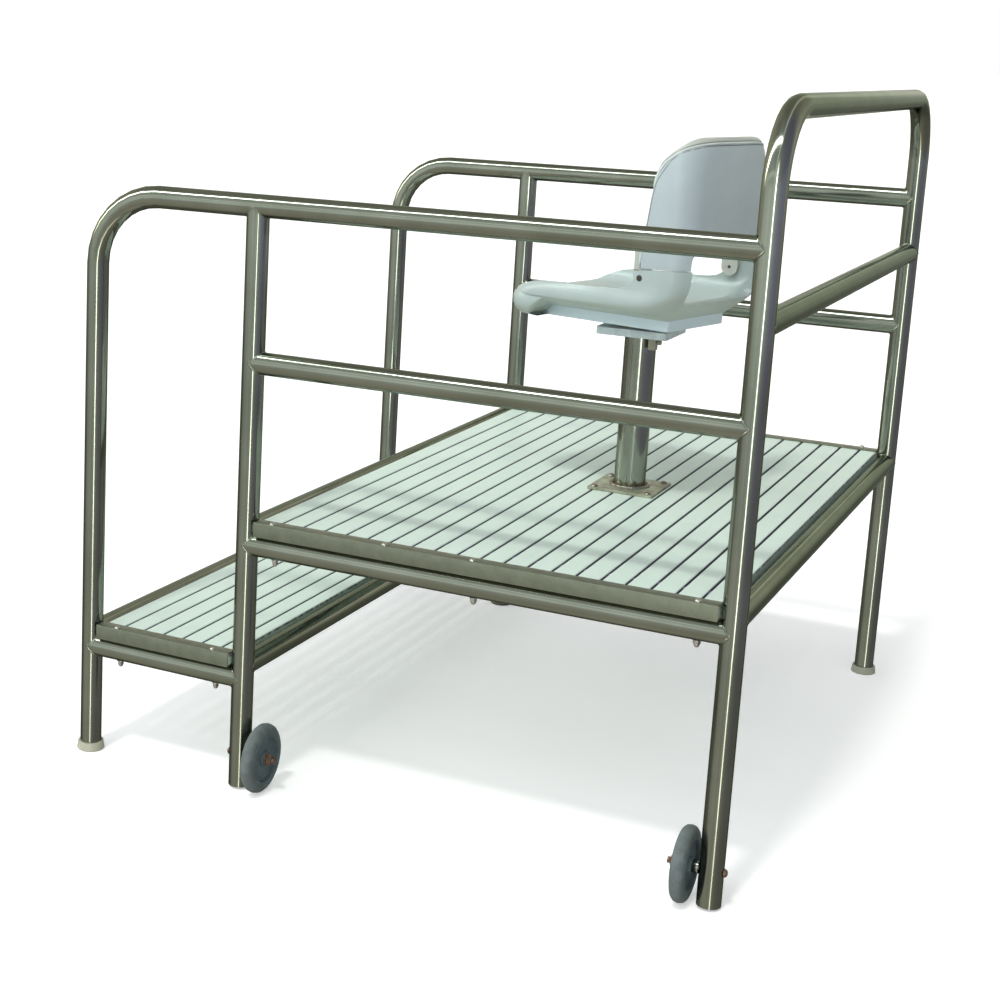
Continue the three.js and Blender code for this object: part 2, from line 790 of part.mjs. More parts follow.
// The lock hangs in the tray beside the pole, and its screw comes out of it towards the back.
function swivelLock() {
  const group = new THREE.Group();
  const top = trayTop - trayWall - seatGap;
  const bottom = trayHeight - lockBlock.drop;
  const screwHeight = trayHeight - lockScrewDrop;
  const face = lockBlock.length / 2;
  const housing = prism(roundedRectangle(lockBlock.length, lockBlock.width, lockScrewRadius), bottom, top);
  const along = (radius, start, length) =>
    turnedAlongX(disc(radius, start, length), smallSides).translate([0, 0, screwHeight]);
  const hole = along(lockScrewRadius + runGap, 0, face + cutOverrun);
  const shank = along(lockScrewRadius, seatGap, face + lockScrewRadius);
  const knob = along(lockKnobRadius, face + lockScrewRadius, lockKnobLength);
  group.add(piece("swivel_lock_housing", housing.subtract(hole), lockPlastic));
  group.add(piece("swivel_lock_knob", shank.add(knob), boltSteel));
  group.position.set(lockPlace.x, lockPlace.y, 0);
  return group;
}

function pedestal() {
  const group = new THREE.Group();
  const head = new THREE.Group();
  head.add(swivelTray(), bearingRing(), swivelLock());
  head.position.set(poleX, poleY, 0);
  group.add(pole(), basePlate(), ...baseBoltPlaces.map(baseBolt), head);
  return group;
}

// The moulded pan: level rings from the skirt up to the arms.
// Shares: height up to the arms, reach forward, reach back, half width between the skirt's and the lip's.
const armShare = (armHalfWidth - skirtHalfWidth) / (seatHalfWidth - skirtHalfWidth);
const panRingShares = [
  [0, 0, 0, 0],
  [0.165, 0, 0, 0.01],
  [0.2, 0.4, 0.06, 0.26],
  [0.25, 0.8, 0.15, 0.52],
  [0.31, 0.96, 0.3, 0.8],
  [0.38, 1, 0.46, 0.97],
  [0.46, 0.84, 0.63, 1],
  [0.53, 0.52, 0.74, 0.98],
  [0.58, 0.1, 0.82, 0.95],
  [0.65, -1.1, 0.9, armShare],
  [0.8, -1.2, 0.98, armShare],
  [1, -1.2, 1, armShare],
];
// The lip that turns down before the skirt: height, reach forward, its rear side, half width.
const lipRingShares = [
  [0.01, 0.45, -0.1, 0.82],
  [0.04, 0.72, -0.3, 0.9],
  [0.1, 0.9, -0.55, 0.95],
  [0.19, 0.98, -0.85, 0.975],
  [0.31, 1, -1.3, 0.98],
  [0.38, 0.98, -1.7, 0.96],
];
// The same as the pan's for the hollow that is sat in, from the middle of its floor to its mouth.
const armDishShare = (armHalfWidth - seatWall) / dishHalfWidth;
const dishRingShares = [
  [0, 0.2, 0.4, 0.45],
  [0.06, 0.42, 0.64, 0.68],
  [0.18, 0.6, 0.79, 0.85],
  [0.3, 0.64, 0.86, 0.93],
  [0.45, 0.62, 0.93, 0.96],
  [0.6, 0.6, 0.98, armDishShare],
  [1.3, 0.6, 1, armDishShare],
];
// The rim's side view: share of the length from the front, and of the rise from the rim to the arms.
const rimShares = [
  [-0.05, -0.6],
  [0.03, -0.42],
  [0.08, -0.2],
  [0.13, -0.08],
  [0.18, -0.03],
  [0.3, 0],
  [0.52, 0.04],
  [0.64, 0.1],
  [0.69, 0.17],
  [0.725, 0.33],
  [0.75, 0.59],
  [0.77, 0.83],
  [0.795, 0.95],
  [0.83, 0.99],
  [0.92, 1],
  [1.1, 1],
];

const mix = (from, to, share) => from + (to - from) * share;

function panBody() {
  return loft(
    panRingShares.map(([up, ahead, behind, out]) =>
      levelRing({
        front: -mix(skirtFront, seatFront, ahead),
        rear: mix(skirtRear, seatRear, behind),
        half: mix(skirtHalfWidth, seatHalfWidth, out),
        frontRound: mix(skirtCorner, frontCorner, out),
        rearRound: mix(skirtCorner, rearCorner, out),
        height: skirtBase + up * armRise,
      }),
    ),
  );
}

function panLip() {
  return loft(
    lipRingShares.map(([up, ahead, behind, out]) =>
      levelRing({
        front: -mix(skirtFront, seatFront, ahead),
        rear: -mix(skirtFront, seatFront, behind),
        half: seatHalfWidth * out,
        frontRound: lipCorner * out,
        rearRound: lipRearCorner,
        height: skirtBase + up * armRise,
      }),
    ),
  );
}

function panDish() {
  const floor = skirtBase + dishRise;
  const innerFront = seatFront - seatWall;
  const innerRear = seatRear - rearWall;
  return loft(
    dishRingShares.map(([up, ahead, behind, out]) =>
      levelRing({
        front: -innerFront * ahead,
        rear: innerRear * behind,
        half: dishHalfWidth * out,
        frontRound: frontCorner * out,
        rearRound: (rearCorner - seatWall) * out,
        height: mix(floor, armTop, up),
      }),
    ),
  );
}

// Everything above the rim's side view.
function aboveRim() {
  const length = seatFront + seatRear;
  const rim = skirtBase + rimRise;
  const line = rimShares.map(([along, up]) => new THREE.Vector2(along * length - seatFront, mix(rim, armTop, up)));
  const lid = armTop + cutOverrun;
  line.push(new THREE.Vector2(line.at(-1).x, lid), new THREE.Vector2(line[0].x, lid));
  return acrossY(line, seatHalfWidth + cutOverrun);
}

// An outline in x and z, extruded across Y to both sides.
function acrossY(outline, reach) {
  const geometry = new THREE.ExtrudeGeometry(new THREE.Shape(outline), { depth: 2 * reach, bevelEnabled: false });
  geometry.applyMatrix4(new THREE.Matrix4().makeBasis(at(1, 0, 0), at(0, 0, 1), at(0, -1, 0)));
  return solidOf(geometry.translate(0, reach, 0));
}

// A gap along x with round corners, from one height to another.
function opening({ half, corner, bottom, top, from, to }) {
  const outline = roundedRectangle(2 * half, top - bottom, corner);
  const geometry = new THREE.ExtrudeGeometry(new THREE.Shape(outline), { depth: to - from, bevelEnabled: false });
  geometry.applyMatrix4(new THREE.Matrix4().makeBasis(at(0, 1, 0), at(0, 0, 1), at(1, 0, 0)));
  return solidOf(geometry.translate(from, 0, (bottom + top) / 2));
}

// A gap through the rear wall.
function rearOpening(bottom, top) {
  const sides = { half: windowHalfWidth, corner: windowCorner };
  return opening({ ...sides, bottom, top, from: seatRear / 2, to: seatRear + cutOverrun });
}

// The lower middle of the front edge, behind the knees.
function frontScoop() {
  const sides = { half: scoopHalfWidth, corner: scoopCorner };
  const bottom = skirtBase + rimRise - scoopDrop;
  return opening({ ...sides, bottom, top: armTop + cutOverrun, from: -seatFront - cutOverrun, to: -scoopEnd });
}

// A round bar across the seat at its hinge, between two distances from the middle.
function hingeBar(side, from, to, radius) {
  const end = (y) => at(hingeSetback, side * y, hingeHeight);
  return rod(end(from), end(to), radius, smallSides);
}

function seatPan() {
  const recess = turned(disc(spindleRecess, skirtBase - cutOverrun, spindleTop + seatWall + cutOverrun), tubeSides);
  const window = rearOpening(skirtBase + windowRise, armTop + windowCorner + cutOverrun);
  const headStart = armHalfWidth - screwHeadDepth - seatGap;
  const holes = [-1, 1].flatMap((side) => [
    hingeBar(side, armInside - cutOverrun, armHalfWidth + cutOverrun, screwRadius + seatGap),
    hingeBar(side, headStart, armHalfWidth + cutOverrun, screwHeadRadius + seatGap),
  ]);
  const cutters = [panDish(), frontScoop(), aboveRim(), window, recess, ...holes];
  return piece("seat_pan", cutAll(panBody().add(panLip()), cutters), seatPlastic);
}

// The back's level rings. Shares: height, front edge over the wing's depth, rear face, half width.
const backRingShares = [
  [0, 0.05, 0, 0.985],
  [0.04, 0, 0, 0.99],
  [0.15, 0, 0, 1],
  [0.35, 0.13, 0.02, 0.995],
  [0.54, 0.18, 0.04, 0.985],
  [0.73, 0.23, 0.06, 0.96],
  [0.81, 0.3, 0.07, 0.93],
  [0.88, 0.43, 0.08, 0.88],
  [0.93, 0.55, 0.09, 0.81],
  [0.97, 0.64, 0.11, 0.72],
  [0.99, 0.68, 0.13, 0.63],
  [1, 0.71, 0.15, 0.52],
];

function backRings(wall, rise, openFront) {
  const base = armTop + backGap;
  return backRingShares.map(([up, forward, rearward, out]) =>
    levelRing({
      front: openFront ? -seatFront : seatRear - backWing * (1 - forward),
      rear: seatRear - backWing * rearward - wall,
      half: armHalfWidth * out - Math.min(wall, seatWall),
      frontRound: backEdge,
      rearRound: rearCorner - wall,
      height: base + rise * up,
    }),
  );
}

function backHollow() {
  const rings = backRings(backRearWall, backHeight - backTopWall, true);
  const below = rings[0].map((point) => point.clone().setZ(armTop - cutOverrun));
  return loft([below, ...rings]);
}

// The tab inside each arm that the back turns on.
function hingeTab(side) {
  const outer = armInside - tabSideGap;
  const inner = outer - tabThickness;
  const outline = [new THREE.Vector2(tabRadius, tabRise), new THREE.Vector2(-tabRadius, tabRise)];
  for (let i = 0; i <= tabSides; i++) {
    const angle = Math.PI * (1 + i / tabSides);
    outline.push(new THREE.Vector2(tabRadius * Math.cos(angle), tabRadius * Math.sin(angle)));
  }
  const tab = acrossY(outline, tabThickness / 2);
  return tab.translate([hingeSetback, (side * (outer + inner)) / 2, hingeHeight]);
}

function seatBack() {
  const shell = loft(backRings(0, backHeight, false)).subtract(backHollow());
  const arch = rearOpening(armTop - cutOverrun, armTop + backArch);
  const tabs = [-1, 1].map(hingeTab);
  const boreStart = armInside - tabThickness - cutOverrun;
  const boreRadius = (screwRadius + runGap) / Math.cos(Math.PI / smallSides);
  const bores = [-1, 1].map((side) => hingeBar(side, boreStart, armInside, boreRadius));
  return piece("seat_back", cutAll(join([shell.subtract(arch), ...tabs]), bores), seatPlastic);
}

// A screw from outside the arm into the back's tab.
function hingeScrew(name, side) {
  const headEnd = armHalfWidth - seatGap;
  const head = hingeBar(side, headEnd - screwHeadDepth + seatGap, headEnd, screwHeadRadius);
  const shank = hingeBar(side, armInside - tabThickness, headEnd - seatGap, screwRadius);
  return piece(name, head.add(shank), boltSteel);
}

function seat() {
  const group = new THREE.Group();
  group.add(turnPlate(), seatPan(), seatBack(), hingeScrew("near_hinge_screw", -1), hingeScrew("far_hinge_screw", 1));
  group.rotation.z = -seatTurn;
  group.position.set(poleX, poleY, 0);
  return group;
}

// The whole chair, moved so that the middle of its footprint is the origin.
const chair = new THREE.Group();
const axleReach = tubeRadius + seatGap + axleHeadHeight;
const middleX = (backX + Math.max(axleReach, capRadius) - capRadius) / 2;
const middleY = (frameWidth + capRadius - Math.max(wheelRadius, capRadius)) / 2;
chair.add(
  frameTubes(),
  footCaps(),
  channels(),
  slats(),
  wheel("front", mainX, 0),
  wheel("rear", backX, Math.PI),
  pedestal(),
  seat(),
);
chair.position.set(-middleX, -middleY, 0);

const part = new THREE.Group();
part.add(chair);

export default part;
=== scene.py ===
"""A movable poolside lifeguard chair: the looks of its tubes, decks, wheels, pedestal and moulded seat.

Sizes and places are in metres, in the frame's own axes. The step is at the low end of x, the hoop at the
high end, and the near side has a negative y.
"""

import math

import bmesh
import bpy
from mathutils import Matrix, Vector, noise


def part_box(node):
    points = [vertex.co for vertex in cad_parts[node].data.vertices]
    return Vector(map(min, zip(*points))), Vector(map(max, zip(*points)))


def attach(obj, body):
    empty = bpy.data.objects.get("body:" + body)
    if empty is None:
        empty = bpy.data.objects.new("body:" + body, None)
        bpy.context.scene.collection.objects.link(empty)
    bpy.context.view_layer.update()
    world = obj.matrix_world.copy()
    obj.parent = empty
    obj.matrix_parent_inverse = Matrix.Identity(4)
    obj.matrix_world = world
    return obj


bl_info = {
    "name": "Lifeguard chair dresser",
    "version": (1, 0, 0),
    "blender": (4, 5, 0),
    "location": "View3D > Sidebar > Lifeguard chair",
    "description": "Gives the chair's tubes, decks, wheels and seat their finishes, fasteners and trim",
    "category": "Object",
}

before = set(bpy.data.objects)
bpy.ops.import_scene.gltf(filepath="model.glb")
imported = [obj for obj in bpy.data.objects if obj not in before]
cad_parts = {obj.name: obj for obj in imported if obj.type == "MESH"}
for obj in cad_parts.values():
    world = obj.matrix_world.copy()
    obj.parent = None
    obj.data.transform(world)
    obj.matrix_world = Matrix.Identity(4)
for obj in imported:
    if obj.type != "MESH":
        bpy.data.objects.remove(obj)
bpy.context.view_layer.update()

# The seat stands turned by this much about the pole.
SEAT_TURN = math.radians(-15)
# The back's rim seen from the side: distance behind the pole's axis, height.
RIM_LINE = (
    (0.100, 1.140), (0.107, 1.160), (0.112, 1.243), (0.116, 1.290), (0.124, 1.340), (0.131, 1.366),
    (0.139, 1.381), (0.157, 1.398), (0.172, 1.409), (0.188, 1.417), (0.200, 1.4225), (0.206, 1.426),
    (0.215, 1.427),
)
# From the pole's top up to where the rim's bead starts, and the distance between the bead's rings.
RIM_START = 0.167
RIM_STEP = 0.006
# A line on the rim with fewer points than this is a speck, and gets no bead.
SHORTEST_RUN = 9
# From the pole's axis back to the middle between the wings of the back.
WING_MIDDLE = 0.15
# The pan's upright skirt: its height, and how far it reaches from the pole.
SKIRT_HEIGHT = 0.0245
SKIRT_REACH = 0.24

# Where the screws stand along the channels. The lone one holds slats only, with no nut under the rail.
LONE_SCREW = 0.004
SCREW_PLACES = {"deck": (-0.256, LONE_SCREW, 0.197, 0.651), "step": (-0.64, -0.392)}
# From a channel's outer edge in to its screws, and how far their heads stand off it.
SCREW_INSET = 0.006
SCREW_LIFT = 0.0003
# How far an acorn nut's washer sinks into the rail.
NUT_SUNK = 0.0006
# The foot weld's middle: its height over the base plate, and its gap to the pole.
FOOT_WELD_LIFT = 0.0015
FOOT_WELD_GAP = 0.0012
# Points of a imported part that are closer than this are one.
SAME_POINT = 0.00002

# Rails and the posts at their two ends, and cross tubes and the posts that they join.
RAILS = (("mid_rail", "main", "back"), ("deck_rail", "main", "back"), ("step_rail", "front", "main"))
CROSS_TUBES = (
    ("hoop_cross_rail", "back"), ("deck_front_tube", "main"), ("deck_back_tube", "back"),
    ("step_front_tube", "front"), ("step_rear_tube", "main"),
)
# The straight tubes by the axis that they follow, and how a pattern is drawn out along each axis.
STRAIGHT_TUBES = {
    "x": ("mid_rail", "deck_rail", "step_rail"),
    "y": ("hoop_cross_rail", "front_tube", "back_tube", "rear_tube"),
    "z": ("main_post",),
}
DRAWN_OUT = {"x": (0.02, 1, 1), "y": (1, 0.02, 1), "z": (1, 1, 0.02)}

# Tones of the small marks on the finishes.
RUBBED_STEEL = (0.42, 0.43, 0.38)
STEEL_SPECK = (0.09, 0.085, 0.06)
STEEL_SCRATCH = (0.4, 0.4, 0.36)
SLAT_SPOT = (0.34, 0.37, 0.36)
RUBBER_NICK = (0.24, 0.26, 0.25)
# What polished tube mirrors at a shallow angle.
TUBE_EDGE = (0.45, 0.5, 0.46)

# Level headings from the chair towards the camera, and to the camera's right.
FRONT = (0.47, -0.88, 0)
RIGHT = (0.88, 0.47, 0)
# The heading that most of the soft light comes from: the chair's near side, towards its step.
SIDE = (-0.4, -0.91, 0.1)
# Soft light by height, and by how far a heading leans to that side.
SOFT_BY_HEIGHT = ((-1, 0.85), (0, 0.85), (0.5, 1.15), (1, 2))
SOFT_BY_SIDE = ((-1, 0.12), (-0.4, 0.2), (0.2, 0.75), (0.7, 2.3), (1, 3.1))
SOFT_TONE = (0.97, 0.99, 1.04)
# The room that the metal mirrors: brightness by height, and faint upright bands from left to right.
ROOM_BY_HEIGHT = (
    (-1, 0.5), (-0.6, 0.52), (-0.38, 0.56), (-0.26, 0.6), (-0.16, 0.64), (-0.04, 1.1), (0.1, 1.1),
    (0.25, 0.8), (0.5, 0.7), (0.8, 0.48), (1, 0.42),
)
ROOM_BANDS = ((-1, 0.9), (-0.75, 1.1), (-0.55, 0.94), (-0.3, 1.12), (-0.12, 0.94), (0.1, 1), (1, 1))
# How much the room dims to the right, and how its brightness changes behind the chair by height.
ROOM_DIMMING = ((-1, 0), (-0.2, 0), (0.35, 0.38), (0.75, 0.53), (1, 0.55))
ROOM_BEHIND = (
    (-1, -0.62), (-0.3, -0.62), (-0.12, -0.52), (0.05, -0.36), (0.2, 0), (0.6, -0.2), (1, -0.3),
)
# The room's tones: ahead, to the right, and behind and below.
ROOM_TONE = (0.95, 1.04, 1)
ROOM_TONE_RIGHT = (0.89, 0.89, 1.26)
ROOM_TONE_LOW = (1.02, 1, 0.84)
# The tall light strip's brightness by height.
TALL_STRIP = ((-1, 0), (-0.5, 0.25), (-0.15, 0.6), (0.3, 0.9), (0.6, 0))

# The camera: its place, its turn in degrees, and the picture's shift.
CAMERA_PLACE = (1.43881, -3.95054, 1.60187)
CAMERA_TURN = (78.2804, -2.1351, 28.1616)
CAMERA_SHIFT = (0.21112, -0.09009)
# The floor's half width, and how far it lies under the chair.
FLOOR_HALF = 400
FLOOR_DROP = 0.0005


# Makers of the four kinds of property.
def colour(name, description, value):
    return bpy.props.FloatVectorProperty(
        name=name, description=description, default=value, size=3, subtype="COLOR", min=0, max=1
    )


def length(name, description, value):
    return bpy.props.FloatProperty(
        name=name, description=description, default=value, min=0, unit="LENGTH", precision=4
    )


def degrees(name, description, value):
    return bpy.props.FloatProperty(
        name=name, description=description, default=math.radians(value), subtype="ANGLE"
    )


def power(name, description, value):
    return bpy.props.FloatProperty(name=name, description=description, default=value, min=0)


class ChairColours(bpy.types.PropertyGroup):
    tube: colour("Tube", "Polished stainless of the frame and the pole", (0.29, 0.3, 0.255))
    tube_shade: colour("Tube shade", "Duller places on the tubes", (0.235, 0.245, 0.2))
    channel: colour("Channel", "Dull steel of the slats' channels", (0.205, 0.22, 0.165))
    channel_shade: colour("Channel shade", "Darker places on the channels", (0.165, 0.178, 0.13))
    slat: colour("Slat", "Pale greenish white of the slats", (0.65, 0.79, 0.69))
    slat_dirt: colour("Slat dirt", "Footworn grey on the slats", (0.5, 0.56, 0.55))
    # Painted shade: slate colour down the gaps between slats, where shadow falls, and a ragged dark line on
    # the run's outer sides.
    slat_gap_shade: colour("Slat gap", "Grimy slate in the gaps between slats", (0.15, 0.145, 0.21))
    pan: colour("Pan", "Light grey of the seat pan", (0.4, 0.48, 0.455))
    pan_shade: colour("Pan shade", "Duller places on the pan", (0.365, 0.437, 0.415))
    # Painted shade: a darker, warmer grey on the faces that look down under the pan's rim.
    pan_under_shade: colour("Pan underneath", "Yellowed grey where the pan's rim curls under", (0.4, 0.45, 0.4))
    # Painted light: a brighter, bluer grey on the pan's upright skirt, standing in for light from low in
    # front.
    pan_skirt_light: colour("Pan skirt", "Cleaner, bluer grey of the pan's lower skirt", (0.6, 0.72, 0.76))
    shell: colour("Shell", "Light grey of the seat back's shell", (0.43, 0.5, 0.51))
    shell_shade: colour("Shell shade", "Duller places on the shell", (0.39, 0.455, 0.465))
    liner: colour("Lining", "Yellowed lining of the seat back", (0.44, 0.465, 0.4))
    rim: colour("Rim", "Pale bead on the seat back's rim", (0.7, 0.79, 0.71))
    # Painted shade: darkens the groove over the back's rim and the bead beside it, where shadow falls.
    seam: colour("Seam", "Dark line beside the back's rim", (0.16, 0.16, 0.145))
    tyre: colour("Tyre", "Grey rubber", (0.11, 0.135, 0.13))
    hub: colour("Hub", "Blue-grey hub", (0.085, 0.12, 0.13))
    spacer: colour("Spacer", "Bright steel of the wheels' spacers", (0.5, 0.5, 0.47))
    cap: colour("Foot cap", "Cream foot caps", (0.5, 0.5, 0.38))
    # A much darker tone for the far main foot's cap than for the others.
    cap_dark: colour("Darkened foot cap", "Dirt on the foot cap that stands behind", (0.15, 0.14, 0.11))
    plate: colour("Base plate", "Plate steel under the pole", (0.42, 0.45, 0.34))
    plate_stain: colour("Base plate stain", "Water stains on the base plate", (0.24, 0.24, 0.17))
    tray: colour("Swivel tray", "Cast alloy of the swivel", (0.6, 0.68, 0.69))
    lock: colour("Lock block", "Beige lock block and bearing ring", (0.3, 0.28, 0.21))
    bolt: colour("Bolts", "Weathered bolt steel", (0.27, 0.25, 0.2))
    screw: colour("Deck screws", "Bright steel of the deck's screws and nuts", (0.5, 0.48, 0.44))
    hinge: colour("Hinge screws", "Dark steel of the hinge screws", (0.1, 0.095, 0.085))
    rust: colour("Rust", "Rust at bolts, welds and the pole's foot", (0.15, 0.06, 0.025))


class ChairSizes(bpy.types.PropertyGroup):
    screw_head: length("Screw head", "Across a deck screw's domed head", 0.0125)
    acorn_width: length("Acorn nut", "Across an acorn nut's flats", 0.0128)
    weld_width: length("Weld bead", "Across a weld's bead", 0.0042)
    foot_weld: length("Foot weld", "Across the weld's bead at the pole's foot", 0.0084)
    rim_bead: length("Rim bead", "Across the pale bead on the seat back's rim", 0.0046)
    # The dark bead beside the rim bead is painted shade.
    seam_inset: length("Seam inset", "From the rim bead's middle to the dark seam beside it", 0.0048)
    seam_width: length("Seam width", "Across the dark seam on the shell", 0.0016)
    edge_round: length("Edge rounding", "Rounding of the channels' and the lock block's edges", 0.0008)
    plate_edge: length("Plate edge", "Rounding of the base plate's edges", 0.0012)
    tray_edge: length("Tray edge", "Rounding of the swivel tray's edges", 0.001)
    hub_edge: length("Hub edge", "Rounding of the hubs' edges", 0.0006)


class ChairStage(bpy.types.PropertyGroup):
    lens: bpy.props.FloatProperty(
        name="Lens", description="Focal length in millimetres", default=63.743, min=10, max=300, unit="CAMERA"
    )
    sun_height: degrees("Light height", "Angle of the main light over the floor", 60)
    sun_turn: degrees("Light turn", "Heading that the main light comes from", -95)
    sun_spread: degrees("Light spread", "How wide the main light looks from the chair", 5)
    sun_colour: colour("Light colour", "Faintly warm tone of the main light", (1, 0.985, 0.94))
    sun_strength: power("Light strength", "Strength of the main light", 1.15)
    sky_strength: power("Surround strength", "Strength of the soft light all round", 0.56)
    strip_strength: power("Strip strength", "Brightness of the light strips that the metal mirrors", 15)
    floor: colour("Floor", "Pale floor", (0.76, 0.77, 0.75))
    floor_shade: colour("Floor shade", "Faintly darker places on the floor", (0.73, 0.74, 0.72))
    floor_glow: power("Floor glow", "How far the floor is lifted to white", 0.42)


class Nodes:
    """Adds nodes to a tree and links them. A value is a plain one or the socket that gives it."""

    def __init__(self, tree, places):
        self.tree = tree
        self.places = self.add("ShaderNodeTexCoord").outputs[places]

    def feed(self, value, socket):
        """Gives a socket its value."""
        if isinstance(value, bpy.types.NodeSocket):
            self.tree.links.new(value, socket)
        elif socket.type == "RGBA":
            socket.default_value = (*value, 1)
        else:
            socket.default_value = value

    def fill(self, node, inputs):
        """Feeds a node's inputs, each under its name or number."""
        for key, value in inputs.items():
            self.feed(value, node.inputs[key])

    def add(self, kind, inputs=()):
        node = self.tree.nodes.new(kind)
        self.fill(node, dict(inputs))
        return node

    def cloud(self, scale, detail=4, roughness=0.55, stretch=(1, 1, 1)):
        """A cloudy pattern between nought and one, drawn out along the axes with a small stretch."""
        mapping = self.add("ShaderNodeMapping", {"Scale": stretch, "Vector": self.places})
        return self.add("ShaderNodeTexNoise", {
            "Scale": scale, "Detail": detail, "Roughness": roughness, "Vector": mapping.outputs["Vector"],
        }).outputs["Fac"]

    def curve(self, value, low, high, from_value=0.0, to_value=1.0):
        """Runs from one value to the other while the value given runs from low to high."""
        return self.add("ShaderNodeMapRange", {
            "From Min": low, "From Max": high, "To Min": from_value, "To Max": to_value, "Value": value,
        }).outputs["Result"]

    def line(self, value, points):
        """A value read off a line through points, each (value in, value out)."""
        node = self.add("ShaderNodeFloatCurve")
        low, high = points[0][0], points[-1][0]
        bottom = min(out for _, out in points)
        top = max(out for _, out in points)
        shares = [((place - low) / (high - low), (out - bottom) / (top - bottom)) for place, out in points]
        drawn = node.mapping.curves[0].points
        for share in shares[1:-1]:
            drawn.new(*share)
        drawn[0].location = shares[0]
        drawn[-1].location = shares[-1]
        for point in drawn:
            point.handle_type = "VECTOR"
        node.mapping.update()
        self.feed(self.curve(value, low, high), node.inputs["Value"])
        return self.curve(node.outputs[0], 0, 1, bottom, top)

    def blend(self, amount, first, second):
        """Goes from the first tone to the second with the amount."""
        node = self.add("ShaderNodeMix")
        node.data_type = "RGBA"
        self.fill(node, {0: amount, 6: first, 7: second})
        return node.outputs[2]

    def maths(self, operation, first, second=0.0):
        node = self.add("ShaderNodeMath", {0: first, 1: second})
        node.operation = operation
        return node.outputs[0]

    def times(self, total, *others):
        """The values multiplied."""
        for value in others:
            total = self.maths("MULTIPLY", total, value)
        return total

    def rest_of(self, share):
        """What a share leaves of one."""
        return self.maths("SUBTRACT", 1, share)

    def vectors(self, operation, first, second):
        node = self.add("ShaderNodeVectorMath", {0: first, 1: second})
        node.operation = operation
        return node.outputs

    def along(self, vector, axis):
        """How far a vector reaches along an axis."""
        return self.vectors("DOT_PRODUCT", vector, axis)["Value"]

    def parts(self, vector):
        return self.add("ShaderNodeSeparateXYZ", {0: vector}).outputs

    def seen(self):
        """One where the camera looks straight at it or through clear matter, else nought."""
        path = self.add("ShaderNodeLightPath")
        return self.maths("MAXIMUM", path.outputs["Is Camera Ray"], path.outputs["Is Transmission Ray"])


class Finish(Nodes):
    """A material, with its places in the object's own coordinates."""

    def __init__(self, name):
        self.material = bpy.data.materials.new(name)
        self.material.use_nodes = True
        super().__init__(self.material.node_tree, "Object")
        self.surface = self.tree.nodes["Principled BSDF"]

    def height(self):
        return self.parts(self.places)["Z"]

    def facing(self):
        """The direction that a face looks in."""
        return self.add("ShaderNodeTexCoord").outputs["Normal"]

    def relief(self, value, strength, distance):
        """Adds fine relief on top of what the surface has."""
        node = self.add("ShaderNodeBump", {"Strength": strength, "Distance": distance, "Height": value})
        normal = self.surface.inputs["Normal"]
        if normal.links:
            self.feed(normal.links[0].from_socket, node.inputs["Normal"])
        self.feed(node.outputs["Normal"], normal)

    def set(self, tone, roughness, metallic=0.0, edge_tint=(1, 1, 1)):
        self.fill(self.surface, {
            "Base Color": tone, "Roughness": roughness, "Metallic": metallic, "Specular Tint": edge_tint,
        })


class Room(Nodes):
    """The world, with headings for places."""

    def __init__(self, world):
        world.use_nodes = True
        world.node_tree.nodes.clear()
        super().__init__(world.node_tree, "Generated")

    def lamp(self, strength, tone):
        return self.add("ShaderNodeBackground", {"Strength": strength, "Color": tone}).outputs[0]


def scaled(tone, share):
    """A tone made darker or lighter."""
    return tuple(min(1, share * part) for part in tone)


def satin_steel(name, base, shade, grain=(1, 1, 1), rust=None, rust_top=0.0):
    """Polished tube: a faint cloud in the polish, fine rubbing along it and, if asked, a rusty foot."""
    finish = Finish(name)
    softer_grain = tuple(0.4 + 0.6 * part for part in grain)
    cloudy = finish.curve(finish.cloud(17, 3, 0.5, softer_grain), 0.32, 0.7)
    tone = finish.blend(cloudy, shade, base)
    rubbed = finish.cloud(1100, 2, 0.5, grain)
    tone = finish.blend(finish.curve(rubbed, 0.62, 0.82, 0, 0.25), tone, RUBBED_STEEL)
    specks = finish.curve(finish.cloud(230, 5, 0.7), 0.72, 0.78, 0, 0.4)
    tone = finish.blend(specks, tone, STEEL_SPECK)
    if rust:
        low_down = finish.curve(finish.height(), rust_top - 0.016, rust_top, 1, 0)
        patchy = finish.curve(finish.cloud(120, 5, 0.65), 0.46, 0.6)
        tone = finish.blend(finish.times(low_down, patchy), tone, rust)
    finish.set(tone, finish.curve(cloudy, 0, 1, 0.15, 0.11), metallic=1.0, edge_tint=TUBE_EDGE)
    finish.relief(rubbed, 0.03, 0.0003)
    finish.relief(finish.cloud(40, 2), 0.02, 0.002)
    return finish.material


def dull_steel(name, base, shade):
    """Pressed channel steel: flat, mottled and a little scratched along its length."""
    finish = Finish(name)
    mottle = finish.curve(finish.cloud(38, 6, 0.62), 0.32, 0.7)
    tone = finish.blend(mottle, shade, base)
    scratches = finish.cloud(420, 3, 0.6, DRAWN_OUT["x"])
    tone = finish.blend(finish.curve(scratches, 0.64, 0.76, 0, 0.45), tone, STEEL_SCRATCH)
    finish.set(tone, finish.curve(mottle, 0, 1, 0.52, 0.4), metallic=0.75)
    finish.relief(scratches, 0.12, 0.0003)
    return finish.material


def stained_steel(name, base, stain, rust):
    """Plate steel: blotched by water, dull, with a few rust spots."""
    finish = Finish(name)
    blotch = finish.curve(finish.cloud(34, 5, 0.62), 0.36, 0.66)
    tone = finish.blend(blotch, stain, base)
    spots = finish.curve(finish.cloud(95, 4, 0.6), 0.64, 0.72, 0, 0.7)
    tone = finish.blend(spots, tone, rust)
    finish.set(tone, finish.curve(blotch, 0, 1, 0.55, 0.38), metallic=0.6)
    finish.relief(finish.cloud(500, 3), 0.15, 0.0003)
    return finish.material


